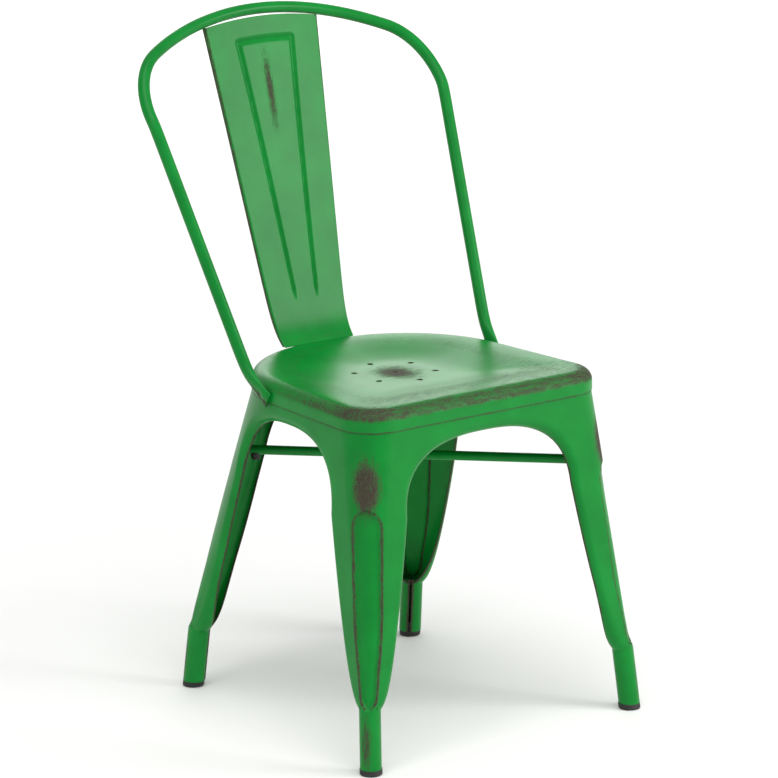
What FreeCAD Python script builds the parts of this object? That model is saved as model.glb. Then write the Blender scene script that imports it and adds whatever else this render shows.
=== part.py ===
import FreeCAD, Part
import math
import os
import Sketcher

# Pressed-steel stacking chair. Millimetres, +Z up, floor at z = 0, front of the chair at -Y,
# x = 0 is the plane of symmetry. Every driving size is a named cell of the sheet "sizes".

V = FreeCAD.Vector

SIZES = {
    # overall and stance
    "overall_height": 851.0,
    "seam_height": 407.7,
    "seat_centre_y": -30.3,
    # apron outline at the seam: corners where the straight edges would meet
    "seat_front_half": 189.6,
    "seat_rear_half": 168.5,
    "seat_front_reach": 184.3,
    "seat_rear_reach": 162.5,
    "seat_front_corner": 44.1,
    "seat_rear_corner": 157.1,
    "seat_rim_rise": 27.0,
    "seat_roll": 16.0,
    "seat_dish": 11.5,
    "drain_circle": 50.9,
    "drain_hole": 3.4,
    # sheet metal
    "sheet": 1.2,
    "lap_gap": 0.1,
    # how far the outer faces of the feet stand out past the seat corners
    "front_splay": 28.6,
    "front_rake": 45.0,
    "rear_splay": 19.1,
    "rear_rake": 50.2,
    "foot_radius": 13.8,
    "foot_tube_height": 85.0,
    # arches between the legs, and the width each leg keeps beside them at the seam
    "arch_drop": 8.7,
    "arch_rise": 99.0,
    "front_leg_face": 52.6,
    "front_leg_side": 56.3,
    "rear_leg_side": 61.5,
    "rear_leg_face": 78.5,
    "side_joint_y": -10.0,
    "arch_roll": 15.0,
    "edge_roll": 9.0,
    # pressed flute on the corner of each leg
    "flute_drop": 91.7,
    "flute_foot": 80.0,
    "flute_half": 20.0,
    "flute_press": 4.5,
    # rubber feet
    "cap_plug": 14.0,
    # back hoop
    "hoop_radius": 7.5,
    "hoop_wall": 1.2,
    "hoop_stand_off": 11.6,
    "hoop_foot_y": 57.7,
    "hoop_foot_rise": 42.3,
    "hoop_splay": 0.132,
    "hoop_rake": 0.465,
    "hoop_corner": 72.0,
    "hoop_crown": 484.0,
    "hoop_bow": 46.2,
    "hoop_lean": 94.7,
    "strap_half_thick": 2.2,
    "strap_half_width": 10.5,
    # back splat
    "splat_top_half": 88.0,
    "splat_foot_half": 54.5,
    "splat_foot_inset": 5.3,
    "splat_top_inset": 10.9,
    "splat_groove": 2.5,
    # fixings and under-seat brace
    "rivet_head": 7.2,
    "rivet_shank": 4.0,
    "rivet_y": 24.0,
    "rivet_rise": 11.3,
    "brace_drop": 89.7,
    "brace_radius": 6.0,
    "end_plate": 3.0,
    "bumper_radius": 6.5,
    "bumper_drop": 6.5,
}

doc = FreeCAD.newDocument("stacking_chair")
sheet = doc.addObject("Spreadsheet::Sheet", "sizes")
for row, (word, value) in enumerate(SIZES.items(), start=1):
    sheet.set("A%d" % row, word)
    sheet.set("B%d" % row, str(value))
    sheet.setAlias("B%d" % row, word)
doc.recompute()


def size(word):
    """Read one driving size back from the sheet."""
    return float(sheet.get(word))


# ---------------------------------------------------------------- plan outline of the pressed body

HALF_PI = math.pi / 2.0
SEAM = size("seam_height")
CENTRE_Y = size("seat_centre_y")
SKIN = size("sheet")
LAP = SKIN + size("lap_gap")
ARCH_CROWN = SEAM - size("arch_drop")
ARCH_SPRING = ARCH_CROWN - size("arch_rise")
FLUTE_TOP = SEAM - size("flute_drop")
BRACE_Z = SEAM - size("brace_drop")
RIVET_Z = SEAM + size("rivet_rise")
HOOP_FOOT_Z = SEAM + size("hoop_foot_rise")
HOOP_TOP_Z = size("overall_height") - size("hoop_radius")


class Corner:
    """One corner of the body: its meeting point and radius at the seam and at the floor."""

    def __init__(self, name):
        self.name = name
        self.seam = (size("seat_%s_half" % name), size("seat_%s_reach" % name))
        self.foot = (self.seam[0] + size(name + "_splay"), self.seam[1] + size(name + "_rake"))
        self.seam_radius = size("seat_%s_corner" % name)

    def meeting_point(self, z):
        """Where the two faces would meet at height z, as (sideways, outward along Y)."""
        down = (SEAM - z) / SEAM
        half = self.seam[0] + (self.foot[0] - self.seam[0]) * down
        reach = self.seam[1] + (self.foot[1] - self.seam[1]) * down
        return half, reach

    def radius(self, z):
        """Corner radius at height z: the foot tube's own radius up to where the leg opens out."""
        tube_top = size("foot_tube_height")
        rise = max(0.0, z - tube_top) / (SEAM - tube_top)
        return size("foot_radius") + (self.seam_radius - size("foot_radius")) * rise


FRONT = Corner("front")
REAR = Corner("rear")


class Plan:
    """The body's outline round one corner at height z, measured along the sheet from mid-corner."""

    def __init__(self, corner, other, z):
        half, reach = corner.meeting_point(z)
        other_half, other_reach = other.meeting_point(z)
        run = math.hypot(other_half - half, other_reach + reach)
        self.side = ((other_half - half) / run, -(other_reach + reach) / run)
        inside = math.acos(-self.side[0])
        self.radius = corner.radius(z)
        self.turn = math.pi - inside
        self.tangent = self.radius * math.tan(self.turn / 2.0)
        self.half_arc = self.radius * self.turn / 2.0
        self.meet = (half, reach)
        self.centre = (half - self.tangent, reach - self.radius)

    def front_middle(self):
        """Distance along the sheet from mid-corner to the plane of symmetry."""
        return self.meet[0] - self.tangent + self.half_arc

    def side_middle(self, joint_reach):
        """Distance along the sheet from mid-corner to the joint in the side."""
        return (self.meet[1] - joint_reach) / -self.side[1] - self.tangent + self.half_arc

    def point(self, along, inset):
        """The (sideways, outward) point and outward normal at a distance along the sheet."""
        angle = min(max(along / self.radius + self.turn / 2.0, 0.0), self.turn)
        normal = (math.sin(angle), math.cos(angle))
        past_front = max(0.0, -along - self.half_arc)
        past_side = max(0.0, along - self.half_arc)
        x = self.centre[0] + normal[0] * (self.radius - inset) - past_front + self.side[0] * past_side
        y = self.centre[1] + normal[1] * (self.radius - inset) + self.side[1] * past_side
        return (x, y), normal


# ---------------------------------------------------------------- surfaces from grids of poles

CUBIC = 3
SEW_TOLERANCE = 0.001


def clamped(count, degree):
    """Knots and multiplicities of a clamped uniform spline with this many poles."""
    inner = count - degree
    knots = [float(k) for k in range(inner + 1)]
    mults = [degree + 1] + [1] * (inner - 1) + [degree + 1]
    return knots, mults


def spline_face(grid, degree_u=CUBIC, degree_v=CUBIC):
    """A face whose poles are the rows of the grid."""
    u_knots, u_mults = clamped(len(grid), degree_u)
    v_knots, v_mults = clamped(len(grid[0]), degree_v)
    surface = Part.BSplineSurface()
    surface.buildFromPolesMultsKnots(grid, u_mults, v_mults, u_knots, v_knots,
                                     False, False, degree_u, degree_v)
    return surface.toShape()


def pressed_solid(outer, thickness):
    """A sheet-metal solid: the outer grid, its offset inwards, and the four cut edges."""
    inner = offset_grid(outer, thickness)
    faces = [spline_face(outer), spline_face(inner)]
    faces.append(spline_face([outer[0], inner[0]], 1, CUBIC))
    faces.append(spline_face([outer[-1], inner[-1]], 1, CUBIC))
    faces.append(spline_face([[r[0] for r in outer], [r[0] for r in inner]], 1, CUBIC))
    faces.append(spline_face([[r[-1] for r in outer], [r[-1] for r in inner]], 1, CUBIC))
    return closed_solid(faces)


def closed_solid(faces):
    """One solid from faces that meet edge to edge."""
    shell = Part.makeShell(faces)
    shell.sewShape()
    shell.fix(SEW_TOLERANCE, SEW_TOLERANCE, SEW_TOLERANCE)
    solid = Part.makeSolid(shell)
    if solid.Volume < 0:
        solid.reverse()
    return solid


def offset_grid(grid, distance):
    """The grid moved by a distance against its normals (rows cross columns)."""
    rows = len(grid)
    cols = len(grid[0])
    moved = []
    for i in range(rows):
        line = []
        for j in range(cols):
            down = grid[min(i + 1, rows - 1)][j] - grid[max(i - 1, 0)][j]
            along = grid[i][min(j + 1, cols - 1)] - grid[i][max(j - 1, 0)]
            normal = down.cross(along).normalize()
            line.append(grid[i][j] - normal * distance)
        moved.append(line)
    return moved


def mirrored(grid):
    """The same grid on the other side of the plane of symmetry, still facing outwards."""
    return [[V(-p.x, p.y, p.z) for p in reversed(line)] for line in grid]


def blend(a, b, k):
    """Straight-line blend of two numbers."""
    return a + (b - a) * k


def ease(k):
    """Smooth step from 0 to 1."""
    k = min(max(k, 0.0), 1.0)
    return k * k * (3.0 - 2.0 * k)


# ---------------------------------------------------------------- pressed legs

ARCH_ROWS = 12
TAPER_ROWS = 14
TUBE_ROWS = 4
FACE_COLUMNS = 28
ROLL_COLUMNS = 6
ARCH_POWER = 2.5
TOP_EDGE_SHARE = 3.0 / 28.0
SLIT_TURN = math.radians(128.0)
CLOSING_SHARE = 0.65
FLUTE_FOOT_SHARE = 0.62
FLUTE_TAPER_SHARE = 0.45
FLUTE_END_SHARE = 1.0 / 9.0
FLUTE_WALL = 4.0
TUCK = 5.0
TUBE_END = 7.0


def middle_of(plan, joint_reach):
    """Distance along the sheet from mid-corner to the joint with the next leg."""
    if joint_reach is None:
        return plan.front_middle()
    return plan.side_middle(joint_reach)


def arch_line(corner, other, arch_half, joint_reach):
    """The crease beside one arch, from the arch's crown to the foot.

    Each entry is (distance along the sheet, height, how tube-like the section is)."""
    crown = ARCH_CROWN
    spring = ARCH_SPRING
    tube_top = size("foot_tube_height")
    line = []
    for i in range(ARCH_ROWS + 1):
        angle = HALF_PI * i / ARCH_ROWS
        z = spring + (crown - spring) * max(0.0, math.cos(angle)) ** (2.0 / ARCH_POWER)
        plan = Plan(corner, other, z)
        gap = arch_half * math.sin(angle) ** (2.0 / ARCH_POWER)
        line.append((middle_of(plan, joint_reach) - gap, z, 0.0))
    plan = Plan(corner, other, spring)
    spring_width = line[-1][0] - plan.half_arc + plan.tangent
    for i in range(1, TAPER_ROWS + 1):
        left = 1.0 - i / TAPER_ROWS
        z = tube_top + (spring - tube_top) * left ** 2
        plan = Plan(corner, other, z)
        width = blend(size("foot_radius"), spring_width, left)
        line.append((width - plan.tangent + plan.half_arc, z, ease(1.0 - left / CLOSING_SHARE)))
    for i in range(1, TUBE_ROWS + 1):
        z = blend(tube_top, TUBE_END, i / TUBE_ROWS)
        line.append((Plan(corner, other, z).half_arc, z, 1.0))
    return line


def face_place(corner, other, front, side, index, joint_reach, share):
    """The (distance along the sheet, height) of the face at a share of the way across one row.

    A row leaves the crease square to it: straight up at the crown, level at the arch's spring."""
    turn = HALF_PI * min(index / ARCH_ROWS, 1.0)
    lift = min(share / TOP_EDGE_SHARE, (1.0 - share) / TOP_EDGE_SHARE, 1.0)
    z = blend(front[index][1], side[index][1], share)
    z += (SEAM + TUCK - ARCH_CROWN) * lift * math.cos(turn)
    front_gap = middle_of(Plan(corner, other, front[index][1]), None) - front[index][0]
    side_gap = middle_of(Plan(corner, other, side[index][1]), joint_reach) - side[index][0]
    plan = Plan(corner, other, z)
    across = min(max((share - TOP_EDGE_SHARE) / (1.0 - 2.0 * TOP_EDGE_SHARE), 0.0), 1.0)
    left = front_gap - middle_of(plan, None)
    right = middle_of(plan, joint_reach) - side_gap
    return blend(left, right, blend(across, share, math.sin(turn))), z


def flute_depth(along, z):
    """How far the pressed flute sinks the corner at a point of the sheet."""
    foot = size("flute_foot")
    level = (z - foot) / (FLUTE_TOP - foot)
    if level <= 0.0 or level >= 1.0:
        return 0.0
    narrow = blend(FLUTE_FOOT_SHARE, 1.0, ease(level / FLUTE_TAPER_SHARE))
    rounded = min(1.0, (1.0 - level) / FLUTE_END_SHARE, level / FLUTE_END_SHARE)
    edge = size("flute_half") * narrow * math.sqrt(rounded)
    return size("flute_press") * ease((edge - abs(along)) / FLUTE_WALL)


def leg_point(corner, other, along, z):
    """The outer face of a leg at a distance along the sheet and a height."""
    plan = Plan(corner, other, z)
    (x, y), normal = plan.point(along, flute_depth(along, z))
    return V(x, y, z), V(normal[0], normal[1], 0.0)


def roll_points(corner, other, line, index, joint_reach):
    """The rolled edge beside the arch at one row, from the crease to the cut edge."""
    before = line[max(index - 1, 0)]
    after = line[min(index + 1, len(line) - 1)]
    along, z, tube = line[index]
    run = (after[0] - before[0], after[1] - before[1])
    if index == 0:
        run = (-1.0, 0.0)
    length = math.hypot(run[0], run[1])
    into_arch = (-run[1] / length, run[0] / length)
    crown = min(max((z - ARCH_SPRING) / size("arch_rise"), 0.0), 1.0)
    radius = blend(size("edge_roll"), size("arch_roll"), crown)
    radius = blend(radius, size("foot_radius"), tube)
    turn = blend(HALF_PI, SLIT_TURN, tube)
    sign = -1.0 if joint_reach is None else 1.0
    gap = middle_of(Plan(corner, other, z), joint_reach) - along
    points = []
    for k in range(1, ROLL_COLUMNS + 1):
        angle = turn * k / ROLL_COLUMNS
        reach = radius * math.sin(angle)
        level = z + into_arch[1] * reach
        place = middle_of(Plan(corner, other, level), joint_reach) - gap + into_arch[0] * reach
        base, normal = leg_point(corner, other, sign * place, level)
        points.append(base - normal * (radius * (1.0 - math.cos(angle))))
    return points


def leg_grid(corner, other, front_arch, side_arch, joint_reach):
    """Outer face of one leg: rows run down the leg, columns from arch edge to arch edge."""
    front = arch_line(corner, other, front_arch, None)
    side = arch_line(corner, other, side_arch, joint_reach)
    grid = []
    for i in range(len(front)):
        row = list(reversed(roll_points(corner, other, front, i, None)))
        for j in range(FACE_COLUMNS + 1):
            share = j / FACE_COLUMNS
            along, z = face_place(corner, other, front, side, i, joint_reach, share)
            row.append(leg_point(corner, other, along, z)[0])
        row.extend(roll_points(corner, other, side, i, joint_reach))
        grid.append(row)
    return grid


def stand_at(grid, outward):
    """Put a quadrant grid in the chair's frame: outward is -1 for the front and +1 for the rear."""
    placed = [[V(p.x, CENTRE_Y + outward * p.y, p.z) for p in row] for row in grid]
    if outward < 0:
        return placed
    return [list(reversed(row)) for row in placed]


def pressed_feature(name, solid):
    """A document object for a shape that only Part's own functions can make."""
    item = doc.addObject("Part::Feature", name)
    item.Label = name
    item.Shape = solid
    return item


def make_legs():
    """Four pressed legs, each a quarter of the apron running down into a split tube."""
    made = []
    for corner, other, outward in ((FRONT, REAR, -1.0), (REAR, FRONT, 1.0)):
        joint_reach = outward * size("side_joint_y")
        front_arch = corner.seam[0] - size(corner.name + "_leg_face")
        side_arch = corner.seam[1] - joint_reach - size(corner.name + "_leg_side")
        grid = stand_at(leg_grid(corner, other, front_arch, side_arch, joint_reach), outward)
        solid = pressed_solid(grid, SKIN)
        made.append(pressed_feature(corner.name + "_right_leg", solid))
        solid = pressed_solid(mirrored(grid), SKIN)
        made.append(pressed_feature(corner.name + "_left_leg", solid))
    return made


# ---------------------------------------------------------------- seat pan

PAN_BAND = size("seat_rim_rise") - size("seat_roll")
ROLL_RINGS = 7
DISH_RINGS = (0.97, 0.9, 0.78, 0.62, 0.45, 0.3)
DISH_SLOPE_SHARE = 0.7
OUTER_DRAIN_HOLES = 6


def outline_wire(inset, z, scale=1.0):
    """The pan's outline as a closed wire of straight sides and corner arcs."""
    corners = []
    for corner, other, outward in ((FRONT, REAR, -1.0), (REAR, FRONT, 1.0)):
        plan = Plan(corner, other, SEAM)
        marks = []
        for along in (-plan.half_arc, 0.0, plan.half_arc):
            (x, y), normal = plan.point(along, inset)
            marks.append((x * scale, outward * y * scale))
        corners.append(marks)
    front, rear = corners
    loop = [
        [V(x, y, z) for x, y in front],
        [V(x, y, z) for x, y in reversed(rear)],
        [V(-x, y, z) for x, y in rear],
        [V(-x, y, z) for x, y in reversed(front)],
    ]
    edges = []
    for i, marks in enumerate(loop):
        edges.append(Part.Arc(*marks).toShape())
        edges.append(Part.LineSegment(marks[2], loop[(i + 1) % 4][0]).toShape())
    wire = Part.Wire(edges)
    wire.translate(V(0, CENTRE_Y, 0))
    return wire


def pan_body(skin, foot):
    """The volume under the pan's skin: band, rolled rim, and dished middle."""
    outset = -LAP
    wires = [outline_wire(outset + skin, foot), outline_wire(outset + skin, SEAM + PAN_BAND)]
    roll = size("seat_roll") - skin
    for k in range(1, ROLL_RINGS + 1):
        angle = HALF_PI * k / ROLL_RINGS
        inset = outset + skin + roll * (1.0 - math.cos(angle))
        wires.append(outline_wire(inset, SEAM + PAN_BAND + roll * math.sin(angle)))
    rim = SEAM + PAN_BAND + roll
    for scale in DISH_RINGS:
        depth = size("seat_dish") * ease((1.0 - scale) / DISH_SLOPE_SHARE)
        wires.append(outline_wire(outset + skin + roll, rim - depth, scale))
    return Part.makeLoft(wires, True, True)


def make_pan():
    """Seat pan: one pressed skin with seven drain holes and two rivet holes."""
    blank = pressed_feature("seat_pan_blank", pan_body(0.0, SEAM).cut(pan_body(SKIN, SEAM - SKIN)))
    holes = [blank]
    for k in range(OUTER_DRAIN_HOLES + 1):
        hole = doc.addObject("Part::Cylinder", "drain_hole_%d" % (k + 1))
        hole.setExpression("Radius", "sizes.drain_hole")
        hole.setExpression("Height", "sizes.seat_rim_rise")
        angle = HALF_PI + 2.0 * math.pi * k / OUTER_DRAIN_HOLES
        reach = size("drain_circle") if k < OUTER_DRAIN_HOLES else 0.0
        place = V(reach * math.cos(angle), CENTRE_Y + reach * math.sin(angle), SEAM)
        hole.Placement = FreeCAD.Placement(place, FreeCAD.Rotation())
        holes.append(hole)
    cutters = doc.addObject("Part::MultiFuse", "seat_pan_holes")
    cutters.Shapes = holes[1:] + RIVET_HOLES
    pan = doc.addObject("Part::Cut", "seat_pan")
    pan.Base = blank
    pan.Tool = cutters
    pan.Label = "seat_pan"
    return pan


# ---------------------------------------------------------------- back hoop

HOOP_SPANS = (8, 12, 16)
HALF_RING_POINTS = 12
STRAP_SPANS = 5
STRAP_PAST_RIVET = (6.0, 8.0)
STRAP_FLAT_BY = 0.6
STRAP_IN_BY = 0.75
STRAP_SWEEP = 1.25
STRAP_STRAIGHT_SHARE = 0.25
STRAP_SQUARENESS = 0.35


def hoop_outline():
    """Half of the hoop's centreline from the leg end to the crown, as (sideways, height)."""
    foot = (flange_x(CENTRE_Y + size("hoop_foot_y"), size("hoop_stand_off")), HOOP_FOOT_Z)
    corner = size("hoop_corner")
    crown = size("hoop_crown")
    crown_z = HOOP_TOP_Z - crown
    lean = math.atan(size("hoop_splay"))
    up = (math.sin(lean), math.cos(lean))
    inward = (-math.cos(lean), math.sin(lean))
    from_crown = (foot[0] + corner * inward[0], foot[1] + corner * inward[1] - crown_z)
    along = from_crown[0] * up[0] + from_crown[1] * up[1]
    square = from_crown[0] ** 2 + from_crown[1] ** 2 - (crown - corner) ** 2
    rise = -along + math.sqrt(max(along * along - square, 0.0))
    centre = (foot[0] + up[0] * rise + corner * inward[0],
              foot[1] + up[1] * rise + corner * inward[1])
    start = math.atan2(-inward[1], -inward[0])
    middle = math.atan2(centre[1] - crown_z, centre[0])
    line = [(foot[0] + up[0] * rise * i / HOOP_SPANS[0], foot[1] + up[1] * rise * i / HOOP_SPANS[0])
            for i in range(HOOP_SPANS[0] + 1)]
    for i in range(1, HOOP_SPANS[1] + 1):
        angle = blend(start, middle, i / HOOP_SPANS[1])
        line.append((centre[0] + corner * math.cos(angle), centre[1] + corner * math.sin(angle)))
    for i in range(1, HOOP_SPANS[2] + 1):
        angle = blend(middle, HALF_PI, i / HOOP_SPANS[2])
        line.append((crown * math.cos(angle), crown_z + crown * math.sin(angle)))
    return line


def hoop_half():
    """Half of the hoop's centreline in the chair's frame, from the leg end to the crown."""
    line = hoop_outline()
    runs = [0.0]
    for a, b in zip(line, line[1:]):
        runs.append(runs[-1] + math.hypot(b[0] - a[0], b[1] - a[1]))
    straight = runs[HOOP_SPANS[0]]
    points = []
    for (x, z), run in zip(line, runs):
        u = max(0.0, run - straight) / (runs[-1] - straight)
        bow = size("hoop_bow") * (3 * u ** 2 - 2 * u ** 3) + size("hoop_lean") * (u - 2 * u ** 2 + u ** 3)
        y = size("hoop_foot_y") + size("hoop_rake") * (z - HOOP_FOOT_Z) + bow
        points.append(V(x, CENTRE_Y + y, z))
    return points


def flange_x(y, gap):
    """How far out a piece's middle lies when it rests on the pan's side band at y."""
    reach = CENTRE_Y - y
    plan = Plan(FRONT, REAR, SEAM)
    run = (plan.meet[1] - reach) / -plan.side[1]
    return plan.meet[0] + plan.side[0] * run + LAP + gap


def strap_end(y, z):
    """The middle of the flattened end at a place on the pan's side band."""
    return V(flange_x(y, size("strap_half_thick") + size("lap_gap")), y, z)


def hoop_stations():
    """Centreline points of the whole hoop with the section's half sizes at each."""
    half = hoop_half()
    foot = half[0]
    round_size = (size("hoop_radius"), size("hoop_radius"))
    flat_size = (size("strap_half_thick"), size("strap_half_width"))
    end_y = CENTRE_Y + size("rivet_y") - STRAP_PAST_RIVET[0]
    end_z = RIVET_Z - STRAP_PAST_RIVET[1]
    end = strap_end(end_y, end_z)
    lead = []
    for i in range(STRAP_SPANS):
        k = 1.0 - i / STRAP_SPANS
        flat = ease((1.0 - k) / STRAP_FLAT_BY)
        y = blend(end_y, foot.y, k ** STRAP_SWEEP)
        z = blend(end_z, foot.z, blend(k ** 2, k, STRAP_STRAIGHT_SHARE))
        x = blend(foot.x, end.x, ease((1.0 - k) / STRAP_IN_BY))
        sizes = (blend(round_size[0], flat_size[0], flat), blend(round_size[1], flat_size[1], flat))
        lead.append((V(x, y, z), sizes))
    lead.append((end, flat_size))
    right = list(reversed(lead)) + [(p, round_size) for p in half[1:]]
    left = [(V(-p.x, p.y, p.z), sizes) for p, sizes in reversed(right[:-1])]
    return right + left


def half_ring(point, run, sizes, start):
    """Half of a section across the run: half sizes sideways and fore-and-aft."""
    run = V(run).normalize()
    broad = (V(0, 1, 0) - run * run.y).normalize()
    thin = run.cross(broad)
    square = 1.0 - STRAP_SQUARENESS * (1.0 - sizes[0] / sizes[1])
    points = []
    for k in range(HALF_RING_POINTS + 1):
        angle = start + math.pi * k / HALF_RING_POINTS
        across = math.copysign(abs(math.cos(angle)) ** square, math.cos(angle))
        along = math.copysign(abs(math.sin(angle)) ** square, math.sin(angle))
        points.append(point + thin * sizes[0] * across + broad * sizes[1] * along)
    return points


def hoop_grid(stations, wall, start):
    """Half of the tube's wall, drawn in by a wall, as rows along the hoop."""
    last = len(stations) - 1
    grid = []
    for i, (point, sizes) in enumerate(stations):
        run = stations[min(i + 1, last)][0] - stations[max(i - 1, 0)][0]
        grid.append(half_ring(point, run, (sizes[0] - wall, sizes[1] - wall), start))
    return grid


def hoop_tube(stations):
    """The hollow tube: outer wall, inner wall and a flat ring at each end."""
    faces = []
    for start in (0.0, math.pi):
        outer = hoop_grid(stations, 0.0, start)
        inner = hoop_grid(stations, size("hoop_wall"), start)
        faces.append(spline_face(outer))
        faces.append(spline_face(inner))
        faces.append(spline_face([outer[0], inner[0]], 1, CUBIC))
        faces.append(spline_face([outer[-1], inner[-1]], 1, CUBIC))
    return closed_solid(faces)


def make_hoop():
    """Back hoop: one bent tube whose ends are flattened and riveted to the seat pan."""
    stations = hoop_stations()
    blank = pressed_feature("back_hoop_blank", hoop_tube(stations))
    hoop = doc.addObject("Part::Cut", "back_hoop")
    hoop.Base = blank
    cutters = doc.addObject("Part::MultiFuse", "back_hoop_holes")
    cutters.Shapes = RIVET_HOLES
    hoop.Tool = cutters
    hoop.Label = "back_hoop"
    return hoop


# ---------------------------------------------------------------- rivets

RIVET_HOLE_INSIDE = 16.0
RIVET_HOLE_OUTSIDE = 8.0
DOME_HEIGHT = 0.45
DOME_SHOULDER = (0.78, 0.28)
DOME_SHADE = (0.4, 0.42)


def rivet_place(side):
    """Where a hoop rivet sits: on the flattened hoop end, pointing into the pan."""
    y = CENTRE_Y + size("rivet_y")
    x = side * flange_x(y, 2.0 * size("strap_half_thick") + size("lap_gap"))
    return FreeCAD.Placement(V(x, y, RIVET_Z), FreeCAD.Rotation(V(0, 1, 0), side * 90.0))


def make_rivet_holes():
    """Cylinders that pierce the hoop ends and the pan's side bands."""
    holes = []
    for name, side in (("left", -1.0), ("right", 1.0)):
        hole = doc.addObject("Part::Cylinder", name + "_rivet_hole")
        hole.setExpression("Radius", "sizes.rivet_shank + sizes.lap_gap")
        hole.Height = RIVET_HOLE_INSIDE + RIVET_HOLE_OUTSIDE
        place = rivet_place(side)
        place.Base = place.Base - V(side * RIVET_HOLE_INSIDE, 0, 0)
        hole.Placement = place
        holes.append(hole)
    return holes


def plane_of(body, role):
    """One of the body's own origin planes."""
    for feature in body.Origin.OriginFeatures:
        if feature.Role == role:
            return feature
    raise ValueError(role)


def turned_body(name, profile, bindings):
    """A body turned about its Z axis from half a profile of (radius, height) points.

    bindings maps a point's index to the expressions of its radius and height."""
    body = doc.addObject("PartDesign::Body", name)
    body.Label = name
    sketch = body.newObject("Sketcher::SketchObject", name + "_profile")
    sketch.AttachmentSupport = [(plane_of(body, "XZ_Plane"), "")]
    sketch.MapMode = "FlatFace"
    count = len(profile)
    for i, (radius, height) in enumerate(profile):
        after = profile[(i + 1) % count]
        sketch.addGeometry(Part.LineSegment(V(radius, height, 0), V(after[0], after[1], 0)), False)
    for i in range(count):
        sketch.addConstraint(Sketcher.Constraint("Coincident", i, 2, (i + 1) % count, 1))
    for i, (radius, height) in enumerate(profile):
        for kind, value, text in (("DistanceX", radius, bindings[i][0]),
                                  ("DistanceY", height, bindings[i][1])):
            index = sketch.addConstraint(Sketcher.Constraint(kind, -1, 1, i, 1, value))
            if text:
                sketch.setExpression("Constraints[%d]" % index, text)
    turn = body.newObject("PartDesign::Revolution", name + "_turn")
    turn.Profile = sketch
    turn.ReferenceAxis = (sketch, ["V_Axis"])
    turn.Angle = 360.0
    return body


def make_rivets():
    """Two domed rivets that hold the hoop ends to the pan."""
    made = []
    head = size("rivet_head")
    shank = size("rivet_shank")
    grip = 2.0 * size("strap_half_thick") + size("lap_gap") + SKIN
    text_grip = "-(2 * sizes.strap_half_thick + sizes.lap_gap + sizes.sheet)"
    profile = [(0.0, -grip), (shank, -grip), (shank, 0.0), (head, 0.0)]
    bindings = [("", text_grip), ("sizes.rivet_shank", text_grip), ("sizes.rivet_shank", ""),
                ("sizes.rivet_head", "")]
    for across, up in (DOME_SHOULDER, DOME_SHADE):
        profile.append((head * across, head * up))
        bindings.append(("sizes.rivet_head * %g" % across, "sizes.rivet_head * %g" % up))
    profile.append((0.0, head * DOME_HEIGHT))
    bindings.append(("", "sizes.rivet_head * %g" % DOME_HEIGHT))
    for name, side in (("left_hoop_rivet", -1.0), ("right_hoop_rivet", 1.0)):
        body = turned_body(name, profile, bindings)
        body.Placement = rivet_place(side)
        made.append(body)
    return made


# ---------------------------------------------------------------- back splat

SPLAT_ROWS = 60
SPLAT_COLUMNS = 48
SPLAT_FOOT_CURL = 14.0
SPLAT_CURL_HEIGHT = 18.0
SPLAT_TUCK = 2.0
GROOVE_WIDTH = 5.0
GROOVE_HALF_SHARES = (0.26, 0.5)
GROOVE_TOP_LEVEL = 0.93
GROOVE_FOOT_LEVEL = 0.16
GROOVE_FADE = 120.0


def splat_top(x):
    """Height of the splat's top edge: just under the hoop's crown."""
    crown = size("hoop_crown")
    middle = HOOP_TOP_Z - crown
    return middle + math.sqrt(crown ** 2 - x ** 2) - size("hoop_radius") - size("lap_gap")


def groove_depth(share, level):
    """Depth of the pressed groove that frames the splat's middle panel, open at the foot."""
    half = blend(GROOVE_HALF_SHARES[0], GROOVE_HALF_SHARES[1], level / GROOVE_TOP_LEVEL)
    side = abs(abs(share) - half) * size("splat_top_half")
    crown = abs(level - GROOVE_TOP_LEVEL) * (HOOP_TOP_Z - SEAM)
    if level > GROOVE_TOP_LEVEL:
        side = math.hypot(max(abs(share) - half, 0.0) * size("splat_top_half"), crown)
    elif abs(share) < half:
        side = min(side, crown)
    if level < GROOVE_FOOT_LEVEL:
        side = side + (GROOVE_FOOT_LEVEL - level) * GROOVE_FADE
    return size("splat_groove") * ease(1.0 - side / GROOVE_WIDTH)


def splat_line(level):
    """The splat's middle line, as (distance behind the seat centre, height), from foot to crown."""
    foot_z = SEAM + size("seat_rim_rise") - SPLAT_TUCK
    top_z = splat_top(0.0)
    foot_y = size("seat_rear_reach") - size("splat_foot_inset") + SPLAT_FOOT_CURL
    top_y = (size("hoop_foot_y") + size("hoop_rake") * (HOOP_TOP_Z - HOOP_FOOT_Z)
             + size("hoop_bow") - size("splat_top_inset"))
    z = blend(foot_z, top_z, level)
    curl = SPLAT_FOOT_CURL * math.exp(-(z - foot_z) / SPLAT_CURL_HEIGHT)
    return blend(foot_y, top_y, level) - curl, z


def make_splat():
    """Back splat: one pressed strip from the hoop's crown down to the rear of the seat."""
    grid = []
    for i in range(SPLAT_ROWS + 1):
        level = 1.0 - i / SPLAT_ROWS
        y, z = splat_line(level)
        row = []
        for j in range(SPLAT_COLUMNS + 1):
            share = 2.0 * j / SPLAT_COLUMNS - 1.0
            x = share * blend(size("splat_foot_half"), size("splat_top_half"), level)
            drop = (splat_top(0.0) - splat_top(x)) * level
            row.append(V(x, CENTRE_Y + y + groove_depth(share, level), z - drop))
        grid.append(row)
    return pressed_feature("back_splat", pressed_solid(grid, SKIN))


# ---------------------------------------------------------------- rubber feet

PLUG_GAP = 0.6
CAP_CHAMFER = 1.2
CAP_CHAMFER_SHARE = 0.2


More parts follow.
